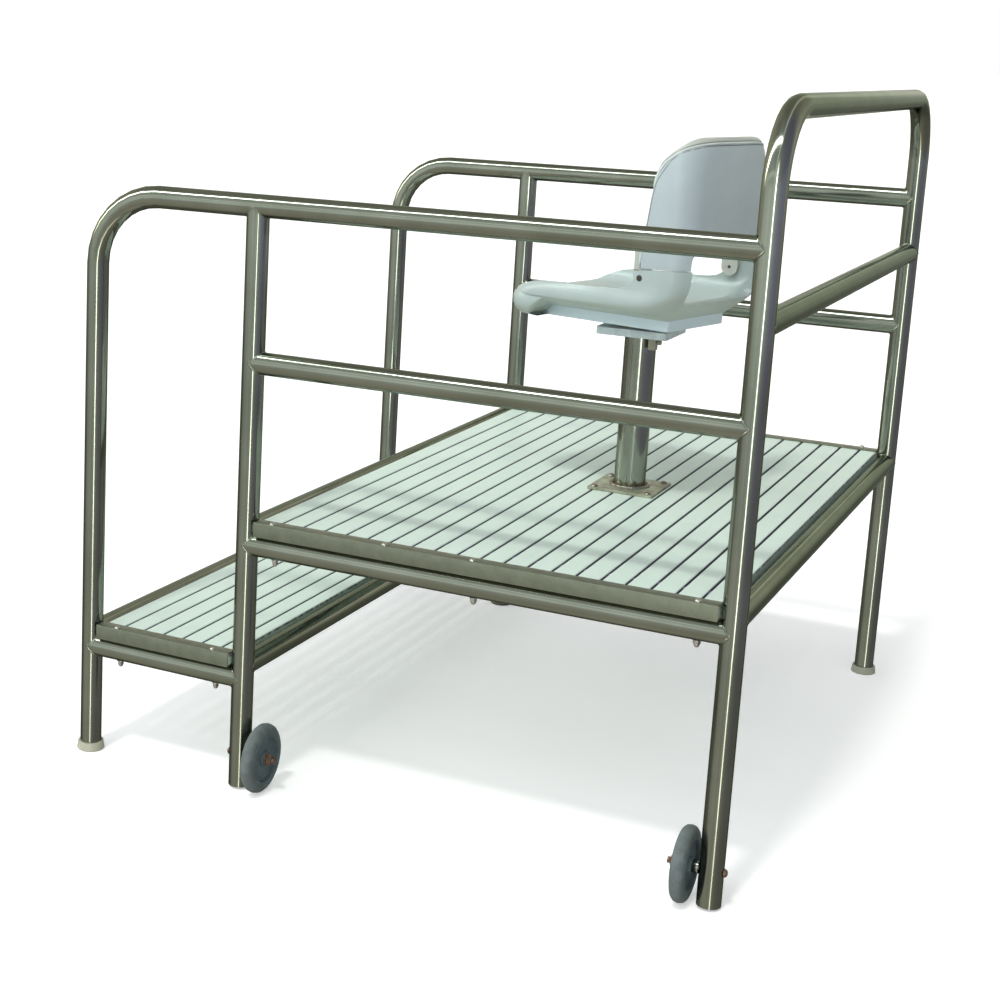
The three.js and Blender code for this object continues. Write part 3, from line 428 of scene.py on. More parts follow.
def slat_plastic(name, base, dirt, gap, low, high):
    """Slat: pale plastic with a fine lengthwise grain and footworn patches, and painted shade down in the
    gaps.

    The run of slats lies between the corners low and high. Its outer sides stay pale but for a ragged dark
    line just under their tops.
    """
    finish = Finish(name)
    worn = finish.curve(finish.cloud(7, 6, 0.6), 0.48, 0.78, 0, 0.35)
    tone = finish.blend(worn, base, dirt)
    streaks = finish.cloud(240, 3, 0.6, (1, 0.03, 1))
    tone = finish.blend(finish.curve(streaks, 0.52, 0.8, 0, 0.22), tone, dirt)
    spots = finish.curve(finish.cloud(210, 4, 0.6), 0.73, 0.8, 0, 0.45)
    tone = finish.blend(spots, tone, SLAT_SPOT)

    # How deep under the tops the painted gap shade and the ragged line start, and how far down the outer
    # sides the ragged line ends.
    start, end, blur = 0.0012, 0.0075, 0.001
    place = finish.parts(finish.places)
    under_tops = finish.curve(place["Z"], high.z - start, high.z - start - blur)
    not_below = finish.curve(finish.parts(finish.facing())["Z"], -0.7, -0.5)
    from_front = finish.curve(place["X"], low.x + blur, low.x + 2 * blur)
    from_back = finish.curve(place["X"], high.x - blur, high.x - 2 * blur)
    near_tops = finish.curve(place["Z"], high.z - end, high.z - end + blur)
    ragged = finish.times(near_tops, finish.curve(finish.cloud(60, 5, 0.7), 0.4, 0.55))
    where = finish.maths("MAXIMUM", finish.times(from_front, from_back), ragged)
    # Painted shade: the gap colour on the slats' sides below their tops stands in for the shadow down the
    # gaps.
    tone = finish.blend(finish.times(under_tops, not_below, where), tone, gap)
    finish.set(tone, finish.curve(worn, 0, 0.5, 0.42, 0.6))
    finish.relief(streaks, 0.2, 0.0004)
    return finish.material


def moulded(name, base, shade, roughness=0.36, grain=0.12, retone=None):
    """Moulded plastic: faint flow marks, a fine pebble and a few scuffs.

    retone(finish, tone), where given, has the last word on the tone.
    """
    finish = Finish(name)
    flow = finish.curve(finish.cloud(9, 3, 0.5), 0.3, 0.7)
    tone = finish.blend(flow, shade, base)
    scuffs = finish.cloud(75, 6, 0.7, (1, 1, 0.4))
    tone = finish.blend(finish.curve(scuffs, 0.66, 0.76, 0, 0.3), tone, shade)
    if retone:
        tone = retone(finish, tone)
    finish.set(tone, finish.curve(scuffs, 0.3, 0.7, roughness - 0.05, roughness + 0.1))
    finish.relief(finish.cloud(1400, 2), grain, 0.0002)
    return finish.material


def pan_plastic(tones, skirt_top):
    """The pan: painted shade under its curled rim, and painted light on the upright skirt below."""

    def retone(finish, tone):
        facing = finish.parts(finish.facing())["Z"]
        # Painted shade: faces that look downward under the rim turn darker and warmer.
        tone = finish.blend(finish.curve(facing, -0.12, -0.5), tone, tones.pan_under_shade)
        # Painted light: the upright skirt under the rim is lightened to a brighter, bluer grey.
        blur = 0.0005
        low = finish.curve(finish.height(), skirt_top.z + blur, skirt_top.z - blur)
        away = finish.vectors("DISTANCE", finish.places, skirt_top)["Value"]
        close = finish.curve(away, SKIRT_REACH + 12 * blur, SKIRT_REACH)
        upright = finish.curve(facing, -0.6, -0.4)
        return finish.blend(finish.times(low, close, upright), tone, tones.pan_skirt_light)

    return moulded("moulded seat pan", tones.pan, tones.pan_shade, 0.32, 0.08, retone)


def lined_back(tones, pole, wing_middle):
    """The back: pale lining inside and over the top, a groove in painted shade, and the grey shell behind it.
    """
    finish = Finish("lined seat back")
    seat_axes = finish.add("ShaderNodeMapping", {
        "Location": pole, "Rotation": (0, 0, SEAT_TURN), "Vector": finish.places,
    })
    seat_axes.vector_type = "TEXTURE"
    place = finish.parts(seat_axes.outputs["Vector"])
    over = finish.maths("SUBTRACT", place["Z"], finish.line(place["X"], RIM_LINE))
    outward = finish.vectors("SUBTRACT", finish.places, wing_middle)["Vector"]
    outward = finish.vectors("MULTIPLY", outward, (1, 1, 0))["Vector"]
    inside = finish.curve(finish.along(outward, finish.facing()), 0.002, -0.002)
    lining = finish.maths("MAXIMUM", finish.curve(over, -0.0002, 0.0002), inside)

    flow = finish.curve(finish.cloud(9, 3, 0.5), 0.3, 0.7)
    shell = finish.blend(flow, tones.shell_shade, tones.shell)
    dust = finish.curve(finish.cloud(14, 4, 0.6), 0.35, 0.7, 0, 0.3)
    pale = finish.blend(dust, tones.liner, tones.shell)
    # Painted shade: the groove on the lining just over the rim is darkened; its dent is the relief at the
    # end.
    groove_height = 0.004
    from_groove = finish.maths("ABSOLUTE", finish.maths("SUBTRACT", over, groove_height))
    groove = finish.rest_of(finish.curve(from_groove, 0.001, 0.0026))
    groove = finish.times(groove, finish.rest_of(inside))
    pale = finish.blend(finish.times(groove, 0.75), pale, tones.seam)
    scuffs = finish.cloud(75, 6, 0.7, (1, 1, 0.4))
    finish.set(finish.blend(lining, shell, pale), finish.curve(scuffs, 0.3, 0.7, 0.32, 0.45))
    finish.relief(finish.cloud(1400, 2), 0.08, 0.0002)
    finish.relief(groove, -0.5, 0.001)
    return finish.material


def grey_rubber(name, base):
    """Wheel rubber: dusty, finely pitted and darker where it is rubbed."""
    finish = Finish(name)
    dust = finish.curve(finish.cloud(48, 6, 0.65), 0.38, 0.7)
    tone = finish.blend(dust, scaled(base, 0.78), scaled(base, 1.28))
    nicks = finish.cloud(310, 4, 0.7)
    tone = finish.blend(finish.curve(nicks, 0.58, 0.72, 0, 0.6), tone, RUBBER_NICK)
    finish.set(tone, finish.curve(dust, 0, 1, 0.62, 0.85))
    finish.relief(nicks, 0.3, 0.0005)
    return finish.material


def rusty_bolt(name, base, rust, amount):
    """Weathered bolt steel, rusted in patches; the amount runs from nought to one."""
    finish = Finish(name)
    patches = finish.cloud(130, 5, 0.6)
    rusted = finish.curve(patches, 0.66 - 0.3 * amount, 0.8 - 0.25 * amount)
    metallic = finish.curve(rusted, 0, 1, 0.95, 0.3)
    finish.set(finish.blend(rusted, base, rust), finish.curve(rusted, 0, 1, 0.3, 0.7), metallic)
    finish.relief(patches, 0.25, 0.0005)
    return finish.material


def cast_alloy(name, base):
    """Cast tray: pale, sandy and a little stained."""
    finish = Finish(name)
    stain = finish.curve(finish.cloud(34, 5, 0.6), 0.4, 0.75)
    tone = finish.blend(stain, base, scaled(base, 0.72))
    finish.set(tone, finish.curve(stain, 0, 1, 0.42, 0.6), metallic=0.2)
    finish.relief(finish.cloud(700, 3, 0.6), 0.2, 0.0004)
    return finish.material


def crisp(piece, turn):
    """Keeps edges sharp where faces turn by more than so many degrees."""
    split = piece.modifiers.new("crisp edges", "EDGE_SPLIT")
    split.split_angle = math.radians(turn)


def dress(names, material, turn=35, edge=0.0):
    """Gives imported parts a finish, smooth faces and, if asked, softened edges."""
    for name in names:
        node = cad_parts[name]
        node.data.shade_smooth()
        weld = node.modifiers.new("join faces", "WELD")
        weld.merge_threshold = SAME_POINT
        if edge:
            round_edges = node.modifiers.new("round edges", "BEVEL")
            round_edges.width = edge
            round_edges.segments = 2
            round_edges.limit_method = "ANGLE"
            round_edges.angle_limit = math.radians(turn)
        crisp(node, turn)
        node.data.materials.clear()
        node.data.materials.append(material)


def named(*words):
    """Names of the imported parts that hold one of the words."""
    return sorted(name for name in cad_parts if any(word in name for word in words))


def middle(name):
    """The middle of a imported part's box."""
    low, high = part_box(name)
    return (low + high) / 2


def keep(mesh, name, material, body, turn=40):
    """Makes an object of a bmesh, gives it its finish and lets it ride on a body."""
    data = bpy.data.meshes.new(name)
    mesh.to_mesh(data)
    mesh.free()
    piece = bpy.data.objects.new(name, data)
    bpy.context.scene.collection.objects.link(piece)
    data.materials.append(material)
    data.shade_smooth()
    if turn:
        crisp(piece, turn)
    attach(piece, body)


def turned(mesh, profile, place, axis=(0, 0, 1), steps=24, sides=None):
    """Adds a turned solid or, with sides, a prism that has the radius to its flats.

    The profile is (radius, height) from the bottom's middle to the top's.
    """
    lean = Vector((0, 0, 1)).rotation_difference(Vector(axis)).to_matrix()
    rings = []
    for radius, rise in profile:
        ring = []
        for i in range(steps if radius else 1):
            angle = 2 * math.pi * i / steps
            reach = radius
            if sides:
                half_side = math.pi / sides
                reach /= math.cos((angle + half_side) % (2 * half_side) - half_side)
            spot = Vector((reach * math.cos(angle), reach * math.sin(angle), rise))
            ring.append(mesh.verts.new(Vector(place) + lean @ spot))
        rings.append(ring)
    for low, high in zip(rings, rings[1:]):
        for i in range(steps):
            j = (i + 1) % steps
            corners = [low[i % len(low)], low[j % len(low)], high[j % len(high)], high[i % len(high)]]
            face = [corner for k, corner in enumerate(corners) if corner not in corners[:k]]
            if len(face) > 2:
                mesh.faces.new(face)


def bead(mesh, path, radius, closed=True, sides=8, ripple=0.0, flat=1.0, ups=None):
    """Adds a rounded bead along a path, rippled like a weld if asked; one with open ends tapers there.

    Flat is its height as a share of its width, and ups are the ways in which it stands up.
    """
    wave, grain, taper = 2.4, 190, 0.35
    count = len(path)
    rings = []
    for i, spot in enumerate(path):
        before = path[i - 1] if i or closed else spot
        after = path[(i + 1) % count] if i + 1 < count or closed else spot
        along = (after - before).normalized()
        up = ups[i] if ups else Vector((0, 0, 1))
        across = along.cross(up)
        if across.length < 1e-4:
            across = along.cross(Vector((1, 0, 0.3)))
        across.normalize()
        up = across.cross(along).normalized()
        size = radius * (1 + ripple * math.sin(i * wave) + ripple * noise.noise(spot * grain))
        if not closed and i in (0, count - 1):
            size *= taper
        ring = []
        for k in range(sides):
            angle = 2 * math.pi * k / sides
            offset = across * size * math.cos(angle) + up * size * flat * math.sin(angle)
            ring.append(mesh.verts.new(spot + offset))
        rings.append(ring)
    pairs = list(zip(rings, rings[1:])) + ([(rings[-1], rings[0])] if closed else [])
    for first, second in pairs:
        for k in range(sides):
            mesh.faces.new([first[k], first[(k + 1) % sides], second[(k + 1) % sides], second[k]])
    if not closed:
        mesh.faces.new(rings[0][::-1])
        mesh.faces.new(rings[-1])


def contours(name, field, wanted):
    """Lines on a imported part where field(place) is nought, on the faces wanted(middle, normal) picks."""
    solid = bmesh.new()
    solid.from_mesh(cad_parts[name].data)
    bmesh.ops.remove_doubles(solid, verts=solid.verts, dist=SAME_POINT)
    values = {vertex: field(vertex.co) for vertex in solid.verts}
    crossings = {}
    for edge in solid.edges:
        first, second = (values[vertex] for vertex in edge.verts)
        if (first > 0) != (second > 0):
            crossings[edge] = edge.verts[0].co.lerp(edge.verts[1].co, first / (first - second))
    joins = {}
    for face in solid.faces:
        if wanted(face.calc_center_median(), face.normal):
            ends = [edge for edge in face.edges if edge in crossings]
            if len(ends) == 2:
                joins.setdefault(ends[0], []).append(ends[1])
                joins.setdefault(ends[1], []).append(ends[0])
    lines = []
    while joins:
        start = min(joins, key=lambda edge: (len(joins[edge]), edge.index))
        line = [start]
        while True:
            onward = [edge for edge in joins.get(line[-1], ()) if edge not in line[-2:]]
            if not onward or onward[0] == start:
                break
            line.append(onward[0])
        for edge in line:
            joins.pop(edge, None)
        lines.append([crossings[edge].copy() for edge in line])
    solid.free()
    return lines


def evened(line, step):
    """The line with its points a step apart, and its corners eased."""
    spots = [line[0]]
    left = step
    for before, after in zip(line, line[1:]):
        run = (after - before).length
        while run > 0 and left <= run:
            spots.append(before.lerp(after, left / run))
            left += step
        left -= run
    for _ in range(3):
        middles = [(a + 2 * b + c) / 4 for a, b, c in zip(spots, spots[1:], spots[2:])]
        spots = [spots[0], *middles, spots[-1]]
    return spots


def beside(line, distance):
    """A side view's line, moved square to itself towards the back and the floor."""
    moved = []
    for before, spot, after in zip(line[:1] + line, line, line[1:] + line[-1:]):
        way = Vector((after[0] - before[0], after[1] - before[1])).normalized() * distance
        moved.append((spot[0] + way.y, spot[1] - way.x))
    return moved


def height_over(line, pole, rearward):
    """Measures how far a spot is over a side view's line, which runs rearward from the pole."""

    def measure(spot):
        along = (spot - pole).dot(rearward)
        for (x, z), (next_x, next_z) in zip(line, line[1:]):
            if along <= next_x:
                return spot.z - (z + (next_z - z) * max(0, along - x) / (next_x - x))
        return spot.z - line[-1][1]

    return measure


class DressTubes(bpy.types.Operator):
    """Satin stainless tubes, cream foot caps"""
    bl_idname = "chair.dress_tubes"
    bl_label = "Dress the tube frame"

    def execute(self, context):
        tones = context.scene.chair_colours
        for axis, words in STRAIGHT_TUBES.items():
            steel = satin_steel(f"satin tube along {axis}", tones.tube, tones.tube_shade, DRAWN_OUT[axis])
            dress(named(*words), steel)
        bent = satin_steel("satin bent tube", tones.tube, tones.tube_shade, (0.25, 0.25, 0.08))
        dress(named("side_rail", "back_hoop"), bent)
        cream = moulded("cream foot cap", tones.cap, scaled(tones.cap, 0.7), 0.5)
        dress(["near_front_foot_cap", "far_front_foot_cap", "far_back_foot_cap"], cream, 40)
        # The far main foot's cap is much darker than the other caps.
        darkened = moulded("darkened foot cap", tones.cap_dark, scaled(tones.cap_dark, 0.6), 0.6)
        dress(["far_main_foot_cap"], darkened, 40)
        return {"FINISHED"}


class DressDecks(bpy.types.Operator):
    """Slats and the channels that hold them"""
    bl_idname = "chair.dress_decks"
    bl_label = "Dress the deck and the step"

    def execute(self, context):
        tones = context.scene.chair_colours
        steel = dull_steel("dull channel steel", tones.channel, tones.channel_shade)
        dress(named("channel", "deck_support"), steel, edge=context.scene.chair_sizes.edge_round)
        for level in ("deck", "step"):
            panels = [name for name in named("slat_panel") if name.startswith(level)]
            boxes = [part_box(name) for name in panels]
            low = Vector(min(box[0][i] for box in boxes) for i in range(3))
            high = Vector(max(box[1][i] for box in boxes) for i in range(3))
            plastic = slat_plastic(
                f"pale {level} slat", tones.slat, tones.slat_dirt, tones.slat_gap_shade, low, high
            )
            dress(panels, plastic, 30)
        return {"FINISHED"}


class DressWheels(bpy.types.Operator):
    """Rubber tyres, hubs and rusty axle parts"""
    bl_idname = "chair.dress_wheels"
    bl_label = "Dress the wheels"

    def execute(self, context):
        tones = context.scene.chair_colours
        hub_edge = context.scene.chair_sizes.hub_edge
        dress(named("tyre"), grey_rubber("grey tyre rubber", tones.tyre), 50)
        dress(named("hub"), grey_rubber("blue-grey hub", tones.hub), 40, hub_edge)
        rusty = rusty_bolt("rusty axle steel", tones.bolt, tones.rust, 0.95)
        dress(named("axle_nut", "axle_bolt", "axle_washer"), rusty, 40)
        dress(named("axle_spacer"), satin_steel("bright spacer", tones.spacer, tones.tube), 40)
        return {"FINISHED"}


class DressPedestal(bpy.types.Operator):
    """The pole, its base plate and the swivel"""
    bl_idname = "chair.dress_pedestal"
    bl_label = "Dress the pedestal and the swivel"

    def execute(self, context):
        tones = context.scene.chair_colours
        sizes = context.scene.chair_sizes
        rust_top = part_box("pedestal_base_plate")[1].z + 0.02
        pole_tone = scaled(tones.tube, 1.1)
        pole = satin_steel("satin pole", pole_tone, tones.tube_shade, DRAWN_OUT["z"], tones.rust, rust_top)
        dress(["pedestal_pole"], pole)
        plate = stained_steel("stained base plate", tones.plate, tones.plate_stain, tones.rust)
        dress(["pedestal_base_plate"], plate, edge=sizes.plate_edge)
        dress(named("pedestal_bolt"), rusty_bolt("weathered bolt", tones.bolt, tones.rust, 0.35), 40)
        alloy = cast_alloy("cast swivel alloy", tones.tray)
        dress(["swivel_tray", "swivel_turn_plate"], alloy, edge=sizes.tray_edge)
        lock = moulded("beige lock plastic", tones.lock, scaled(tones.lock, 0.8), 0.5)
        dress(["swivel_lock_housing", "swivel_bearing_ring"], lock, edge=sizes.edge_round)
        dress(["swivel_lock_knob"], rusty_bolt("knob steel", tones.bolt, tones.rust, 0.3), 40)
        return {"FINISHED"}


class DressSeat(bpy.types.Operator):
    """The moulded pan and back, with the pale bead and a dark bead of painted shade on the back's rim"""
    bl_idname = "chair.dress_seat"
    bl_label = "Dress the seat"

    def execute(self, context):
        tones = context.scene.chair_colours
        sizes = context.scene.chair_sizes
        pole = middle("pedestal_pole")
        pole.z = 0
        rearward = Vector((math.cos(SEAT_TURN), math.sin(SEAT_TURN), 0))
        wing_middle = pole + rearward * WING_MIDDLE
        skirt_top = pole + Vector((0, 0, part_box("seat_pan")[0].z + SKIRT_HEIGHT))
        dress(["seat_pan"], pan_plastic(tones, skirt_top), 42)
        dress(["seat_back"], lined_back(tones, pole, wing_middle), 42)
        dress(named("hinge_screw"), rusty_bolt("hinge screw steel", tones.hinge, tones.rust, 0.2), 40)

        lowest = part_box("pedestal_pole")[1].z + RIM_START

        def outer(spot, normal):
            away = spot - wing_middle
            away.z = 0
            return normal.dot(away) > 0 and spot.z > lowest

        pale = moulded("pale rim", tones.rim, tones.shell, grain=0.08)
        # Painted shade: a dark bead laid on the shell beside the rim bead stands in for the shadow in a
        # crease.
        dark = moulded("dark seam", tones.seam, tones.seam, 0.6, 0.08)
        seam_line = beside(RIM_LINE, sizes.seam_inset)
        for name, line, width, finish in (
            ("seat_back_rim_bead", RIM_LINE, sizes.rim_bead, pale),
            ("seat_back_seam", seam_line, sizes.seam_width, dark),
        ):
            beads = bmesh.new()
            for run in contours("seat_back", height_over(line, pole, rearward), outer):
                if len(run) >= SHORTEST_RUN:
                    bead(beads, evened(run, RIM_STEP), width / 2, closed=False)
            keep(beads, name, finish, "folding_back", 60)
        return {"FINISHED"}


def dome_profile(radius):
    """A domed screw head with a small socket in its top."""
    sunk, rim, rise = -0.0002, 0.0008, 0.0042
    socket_top, socket_floor = 0.0049, 0.0038
    dome = [(radius * math.cos(a), rim + rise * math.sin(a)) for a in (0.35, 0.7, 1.05, 1.3)]
    socket = [(radius * 0.2, socket_top), (radius * 0.14, socket_floor), (0, socket_floor)]
    return [(0, sunk), (radius, sunk), (radius, rim), *dome, *socket]


def add_acorn_nut(mesh, place, flat):
    """A washer, a hexagon and a crown, which hang down from a place; flat is half the width across flats."""
    washer_top, nut_foot, nut_top, chamfer_top, crown_foot = 0.0014, 0.0015, 0.0082, 0.0086, 0.0095
    washer = [(0, 0), (flat * 1.35, 0), (flat * 1.35, washer_top), (0, washer_top)]
    hexagon = [(0, nut_foot), (flat, nut_foot), (flat, nut_top), (flat * 0.93, chamfer_top)]
    rise = flat * 0.95
    dome = [(flat * 0.9 * math.cos(a), crown_foot + rise * math.sin(a)) for a in (0, 0.4, 0.8, 1.2)]
    crown = [(flat * 0.9, chamfer_top), *dome, (0, crown_foot + rise)]
    down = (0, 0, -1)
    turned(mesh, washer, place, down, 20)
    turned(mesh, hexagon, place, down, 24, 6)
    turned(mesh, crown, place, down, 24)


class AddScrews(bpy.types.Operator):
    """Domed screws through the channels' lips and acorn nuts under the rails"""
    bl_idname = "chair.add_screws"
    bl_label = "Add the deck and step screws"

    def execute(self, context):
        tones = context.scene.chair_colours
        sizes = context.scene.chair_sizes
        steel = rusty_bolt("bright screw steel", tones.screw, tones.rust, 0.15)
        dome = dome_profile(sizes.screw_head / 2)
        for level, places in SCREW_PLACES.items():
            for side in ("near", "far"):
                low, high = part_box(f"{side}_{level}_channel")
                y = low.y + SCREW_INSET if side == "near" else high.y - SCREW_INSET
                rail = f"{side}_{level}_rail"
                nut_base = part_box(rail)[0].z + NUT_SUNK
                heads = bmesh.new()
                nuts = bmesh.new()
                for x in places:
                    turned(heads, dome, (x, y, high.z + SCREW_LIFT), steps=20)
                    if x != LONE_SCREW:
                        add_acorn_nut(nuts, (x, middle(rail).y, nut_base), sizes.acorn_width / 2)
                keep(heads, f"{side}_{level}_screw_heads", steel, "frame", 50)
                keep(nuts, f"{side}_{level}_acorn_nuts", steel, "frame", 35)
        return {"FINISHED"}


def coped_ring(meet, away, main, radius, steps=56):
    """The line where a tube that leaves along away meets an equal tube along main, at point meet."""
    away, main = Vector(away), Vector(main)
    side = away.cross(main)
    proud = 0.0006
    ring, ups = [], []
    for i in range(steps):
        angle = 2 * math.pi * i / steps
        across = radius * math.sin(angle)
        reach = math.sqrt(max(radius * radius - across * across, 0)) + proud
        ring.append(Vector(meet) + side * across + main * radius * math.cos(angle) + away * reach)
        ups.append((away * reach + side * across).normalized())
    return ring, ups


class AddWelds(bpy.types.Operator):
    """Weld beads where the tubes meet, and at the pole's foot"""
    bl_idname = "chair.add_welds"
    bl_label = "Add the weld beads"

    def execute(self, context):
        tones = context.scene.chair_colours
        self.weld_frame(tones, context.scene.chair_sizes.weld_width / 2)
        self.weld_foot(tones, context.scene.chair_sizes.foot_weld / 2)
        return {"FINISHED"}

    def weld_frame(self, tones, half):
        post_low, post_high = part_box("near_main_post")
        radius = (post_high.x - post_low.x) / 2
        rail_low, rail_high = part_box("near_side_rail")
        top = rail_high.z - radius
        posts = {
            "front": rail_low.x + radius,
            "main": middle("near_main_post").x,
            "back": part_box("back_hoop")[1].x - radius,
        }
        beads = bmesh.new()

        def weld(post, y, z, away, main=(0, 0, 1)):
            ring, ups = coped_ring((posts[post], y, z), away, main, radius)
            bead(beads, ring, half, ripple=0.08, flat=0.5, ups=ups)

        for side, inward in (("near", (0, 1, 0)), ("far", (0, -1, 0))):
            y = middle(f"{side}_main_post").y
            weld("back", y, top, (-1, 0, 0))
            weld("main", y, top, (0, 0, -1), (1, 0, 0))
            for rail, start, end in RAILS:
                z = middle(f"{side}_{rail}").z
                weld(start, y, z, (1, 0, 0))
                weld(end, y, z, (-1, 0, 0))
            for tube, post in CROSS_TUBES:
                weld(post, y, middle(tube).z, inward)
        steel = satin_steel("weld steel", tones.tube, tones.tube_shade)
        keep(beads, "frame_weld_beads", steel, "frame", 0)

    def weld_foot(self, tones, half):
        low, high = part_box("pedestal_pole")
        centre = middle("pedestal_pole")
        centre.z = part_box("pedestal_base_plate")[1].z + FOOT_WELD_LIFT
        around = (high.x - low.x) / 2 + FOOT_WELD_GAP
        steps = 90
        angles = [2 * math.pi * i / steps for i in range(steps)]
        path = [centre + Vector((around * math.cos(a), around * math.sin(a), 0)) for a in angles]
        beads = bmesh.new()
        bead(beads, path, half, ripple=0.2, flat=0.9)
        steel = rusty_bolt("rusty foot weld", tones.tube, tones.rust, 0.55)
        keep(beads, "pole_foot_weld", steel, "frame", 0)


class SetStage(bpy.types.Operator):
    """Pale floor, white backdrop, soft light and the camera"""
    bl_idname = "chair.set_stage"
    bl_label = "Set the stage"

    def execute(self, context):
        scene = context.scene
        stage = scene.chair_stage
        scene.view_settings.view_transform = "Standard"
        scene.world = bpy.data.worlds.new("white surround")
        self.surround(Room(scene.world), stage)
        self.lay_floor(scene, stage)
        self.hang_light(scene, stage)
        self.place_camera(scene, stage)
        return {"FINISHED"}

    def lay_floor(self, scene, stage):
        mesh = bmesh.new()
        signs = ((-1, -1), (1, -1), (1, 1), (-1, 1))
        mesh.faces.new([mesh.verts.new((x * FLOOR_HALF, y * FLOOR_HALF, -FLOOR_DROP)) for x, y in signs])
        data = bpy.data.meshes.new("floor")
        mesh.to_mesh(data)
        mesh.free()
        data.materials.append(self.floor_finish(stage))
        floor = bpy.data.objects.new("floor", data)
        scene.collection.objects.link(floor)
        floor.visible_glossy = False

    def floor_finish(self, stage):
        """A pale floor that is lifted towards white where it is seen, and keeps the chair's shadow."""
        finish = Finish("pale floor")
        faint = finish.curve(finish.cloud(3, 3), 0.3, 0.7)
        finish.set(finish.blend(faint, stage.floor_shade, stage.floor), 0.9)
        lift = finish.times(finish.seen(), stage.floor_glow)
        glow = finish.add("ShaderNodeEmission", {"Strength": lift}).outputs[0]
        both = finish.add("ShaderNodeAddShader", {0: finish.surface.outputs["BSDF"], 1: glow})
        finish.fill(finish.tree.nodes["Material Output"], {"Surface": both.outputs[0]})
        return finish.material

    def hang_light(self, scene, stage):
        sun = bpy.data.lights.new("main light", "SUN")
        sun.energy = stage.sun_strength
        sun.angle = stage.sun_spread
        sun.color = stage.sun_colour
        lamp = bpy.data.objects.new("main light", sun)
        heading = Vector((
            math.cos(stage.sun_height) * math.cos(stage.sun_turn),
            math.cos(stage.sun_height) * math.sin(stage.sun_turn),
            math.sin(stage.sun_height),
        ))
        lamp.rotation_euler = heading.to_track_quat("Z", "Y").to_euler()
        lamp.visible_glossy = False
        scene.collection.objects.link(lamp)

    def place_camera(self, scene, stage):
        camera = bpy.data.cameras.new("camera")
        camera.lens = stage.lens
        camera.sensor_width = 36
        camera.shift_x, camera.shift_y = CAMERA_SHIFT
        eye = bpy.data.objects.new("camera", camera)
        eye.location = CAMERA_PLACE
        eye.rotation_euler = [math.radians(turn) for turn in CAMERA_TURN]
        scene.collection.objects.link(eye)
        scene.camera = eye

    def surround(self, room, stage):
        """White where it is seen; a pale room with light strips to the metal; else soft light."""
        level = room.parts(room.places)["Z"]
        front = room.along(room.places, FRONT)
        right = room.along(room.places, RIGHT)
        ahead = room.curve(front, -0.35, 0.05)
        behind = room.rest_of(ahead)

        walls = room.times(room.line(level, ROOM_BY_HEIGHT), room.line(right, ROOM_BANDS))
        dimmed = room.rest_of(room.times(room.line(right, ROOM_DIMMING), ahead))
        changed = room.maths("ADD", 1, room.times(behind, room.line(level, ROOM_BEHIND)))
        strips = room.times(self.light_strips(room, level, front, right), stage.strip_strength)
        mirrored = room.maths("ADD", room.times(walls, dimmed, changed), strips)
        to_right = room.times(room.curve(right, 0, 0.7), ahead)
        low = room.maths("MAXIMUM", behind, room.curve(level, -0.1, -0.5))
        tint = room.blend(low, room.blend(to_right, ROOM_TONE, ROOM_TONE_RIGHT), ROOM_TONE_LOW)

        from_side = room.line(room.along(room.places, SIDE), SOFT_BY_SIDE)
        soft = room.times(room.line(level, SOFT_BY_HEIGHT), stage.sky_strength, from_side)

        mirror_ray = room.add("ShaderNodeLightPath").outputs["Is Glossy Ray"]
        shown = room.lamp(soft, SOFT_TONE)
        for share, lamp in (
            (mirror_ray, room.lamp(mirrored, tint)), (room.seen(), room.lamp(1.0, (1, 1, 1))),
        ):
            shown = room.add("ShaderNodeMixShader", {0: share, 1: shown, 2: lamp}).outputs[0]
        room.add("ShaderNodeOutputWorld", {"Surface": shown})

    def light_strips(self, room, level, front, right):
        """A tall strip in front, one along x with a faint second one, and a faint one along y."""

        def strip(across, half, soft):
            aside = room.maths("ABSOLUTE", room.along(room.places, across))
            return room.curve(aside, half + soft, half - soft)

        above = room.curve(level, 0.05, 0.3)
        above_left = room.times(above, room.curve(right, 0, -0.25))
        in_front = room.times(room.curve(front, 0.3, 0.5), room.line(level, TALL_STRIP))
        strips = room.times(strip((0.927, 0.375, 0), 0.045, 0.035), in_front)
        for other in (
            room.times(strip((0, 0.89, 0.46), 0.06, 0.03), above_left),
            room.times(strip((0, 0.36, 0.93), 0.035, 0.03), above_left, 0.055),
            room.times(strip((0.99, 0, -0.12), 0.06, 0.03), above, 0.05),
        ):
            strips = room.maths("MAXIMUM", strips, other)
        return strips


STEPS = (DressTubes, DressDecks, DressWheels, DressPedestal, DressSeat, AddScrews, AddWelds, SetStage)


class ChairPanel(bpy.types.Panel):
    """Lists the chair's steps, sizes and colours"""
    bl_idname = "VIEW3D_PT_lifeguard_chair"
    bl_label = "Lifeguard chair"
    bl_space_type = "VIEW_3D"
    bl_region_type = "UI"
    bl_category = "Lifeguard chair"

    def draw(self, context):
        for step in STEPS:
            self.layout.operator(step.bl_idname)
        for group in (context.scene.chair_sizes, context.scene.chair_colours, context.scene.chair_stage):
            box = self.layout.box()
            for key in group.bl_rna.properties.keys():
                if key not in ("rna_type", "name"):
                    box.prop(group, key)


GROUPS = {"chair_colours": ChairColours, "chair_sizes": ChairSizes, "chair_stage": ChairStage}


def register():
    for kind in (*GROUPS.values(), *STEPS, ChairPanel):
        bpy.utils.register_class(kind)
    for name, kind in GROUPS.items():
        setattr(bpy.types.Scene, name, bpy.props.PointerProperty(type=kind))


def unregister():
    for name in GROUPS:
        delattr(bpy.types.Scene, name)
    for kind in reversed((*GROUPS.values(), *STEPS, ChairPanel)):
        bpy.utils.unregister_class(kind)


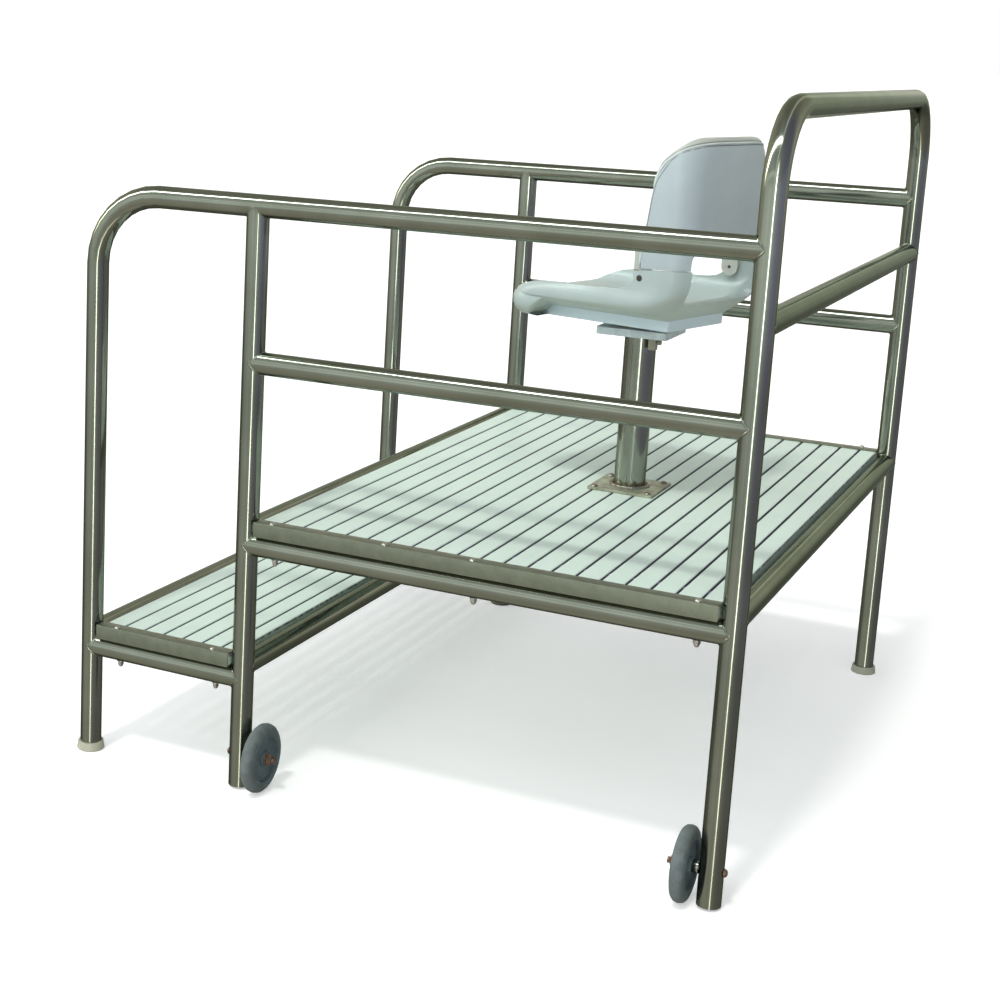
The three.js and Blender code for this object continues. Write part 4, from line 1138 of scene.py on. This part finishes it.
def main():
    register()
    bpy.ops.chair.dress_tubes()
    bpy.ops.chair.dress_decks()
    bpy.ops.chair.dress_wheels()
    bpy.ops.chair.dress_pedestal()
    bpy.ops.chair.dress_seat()
    bpy.ops.chair.add_screws()
    bpy.ops.chair.add_welds()
    bpy.ops.chair.set_stage()
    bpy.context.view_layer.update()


if __name__ == "__main__":
    main()
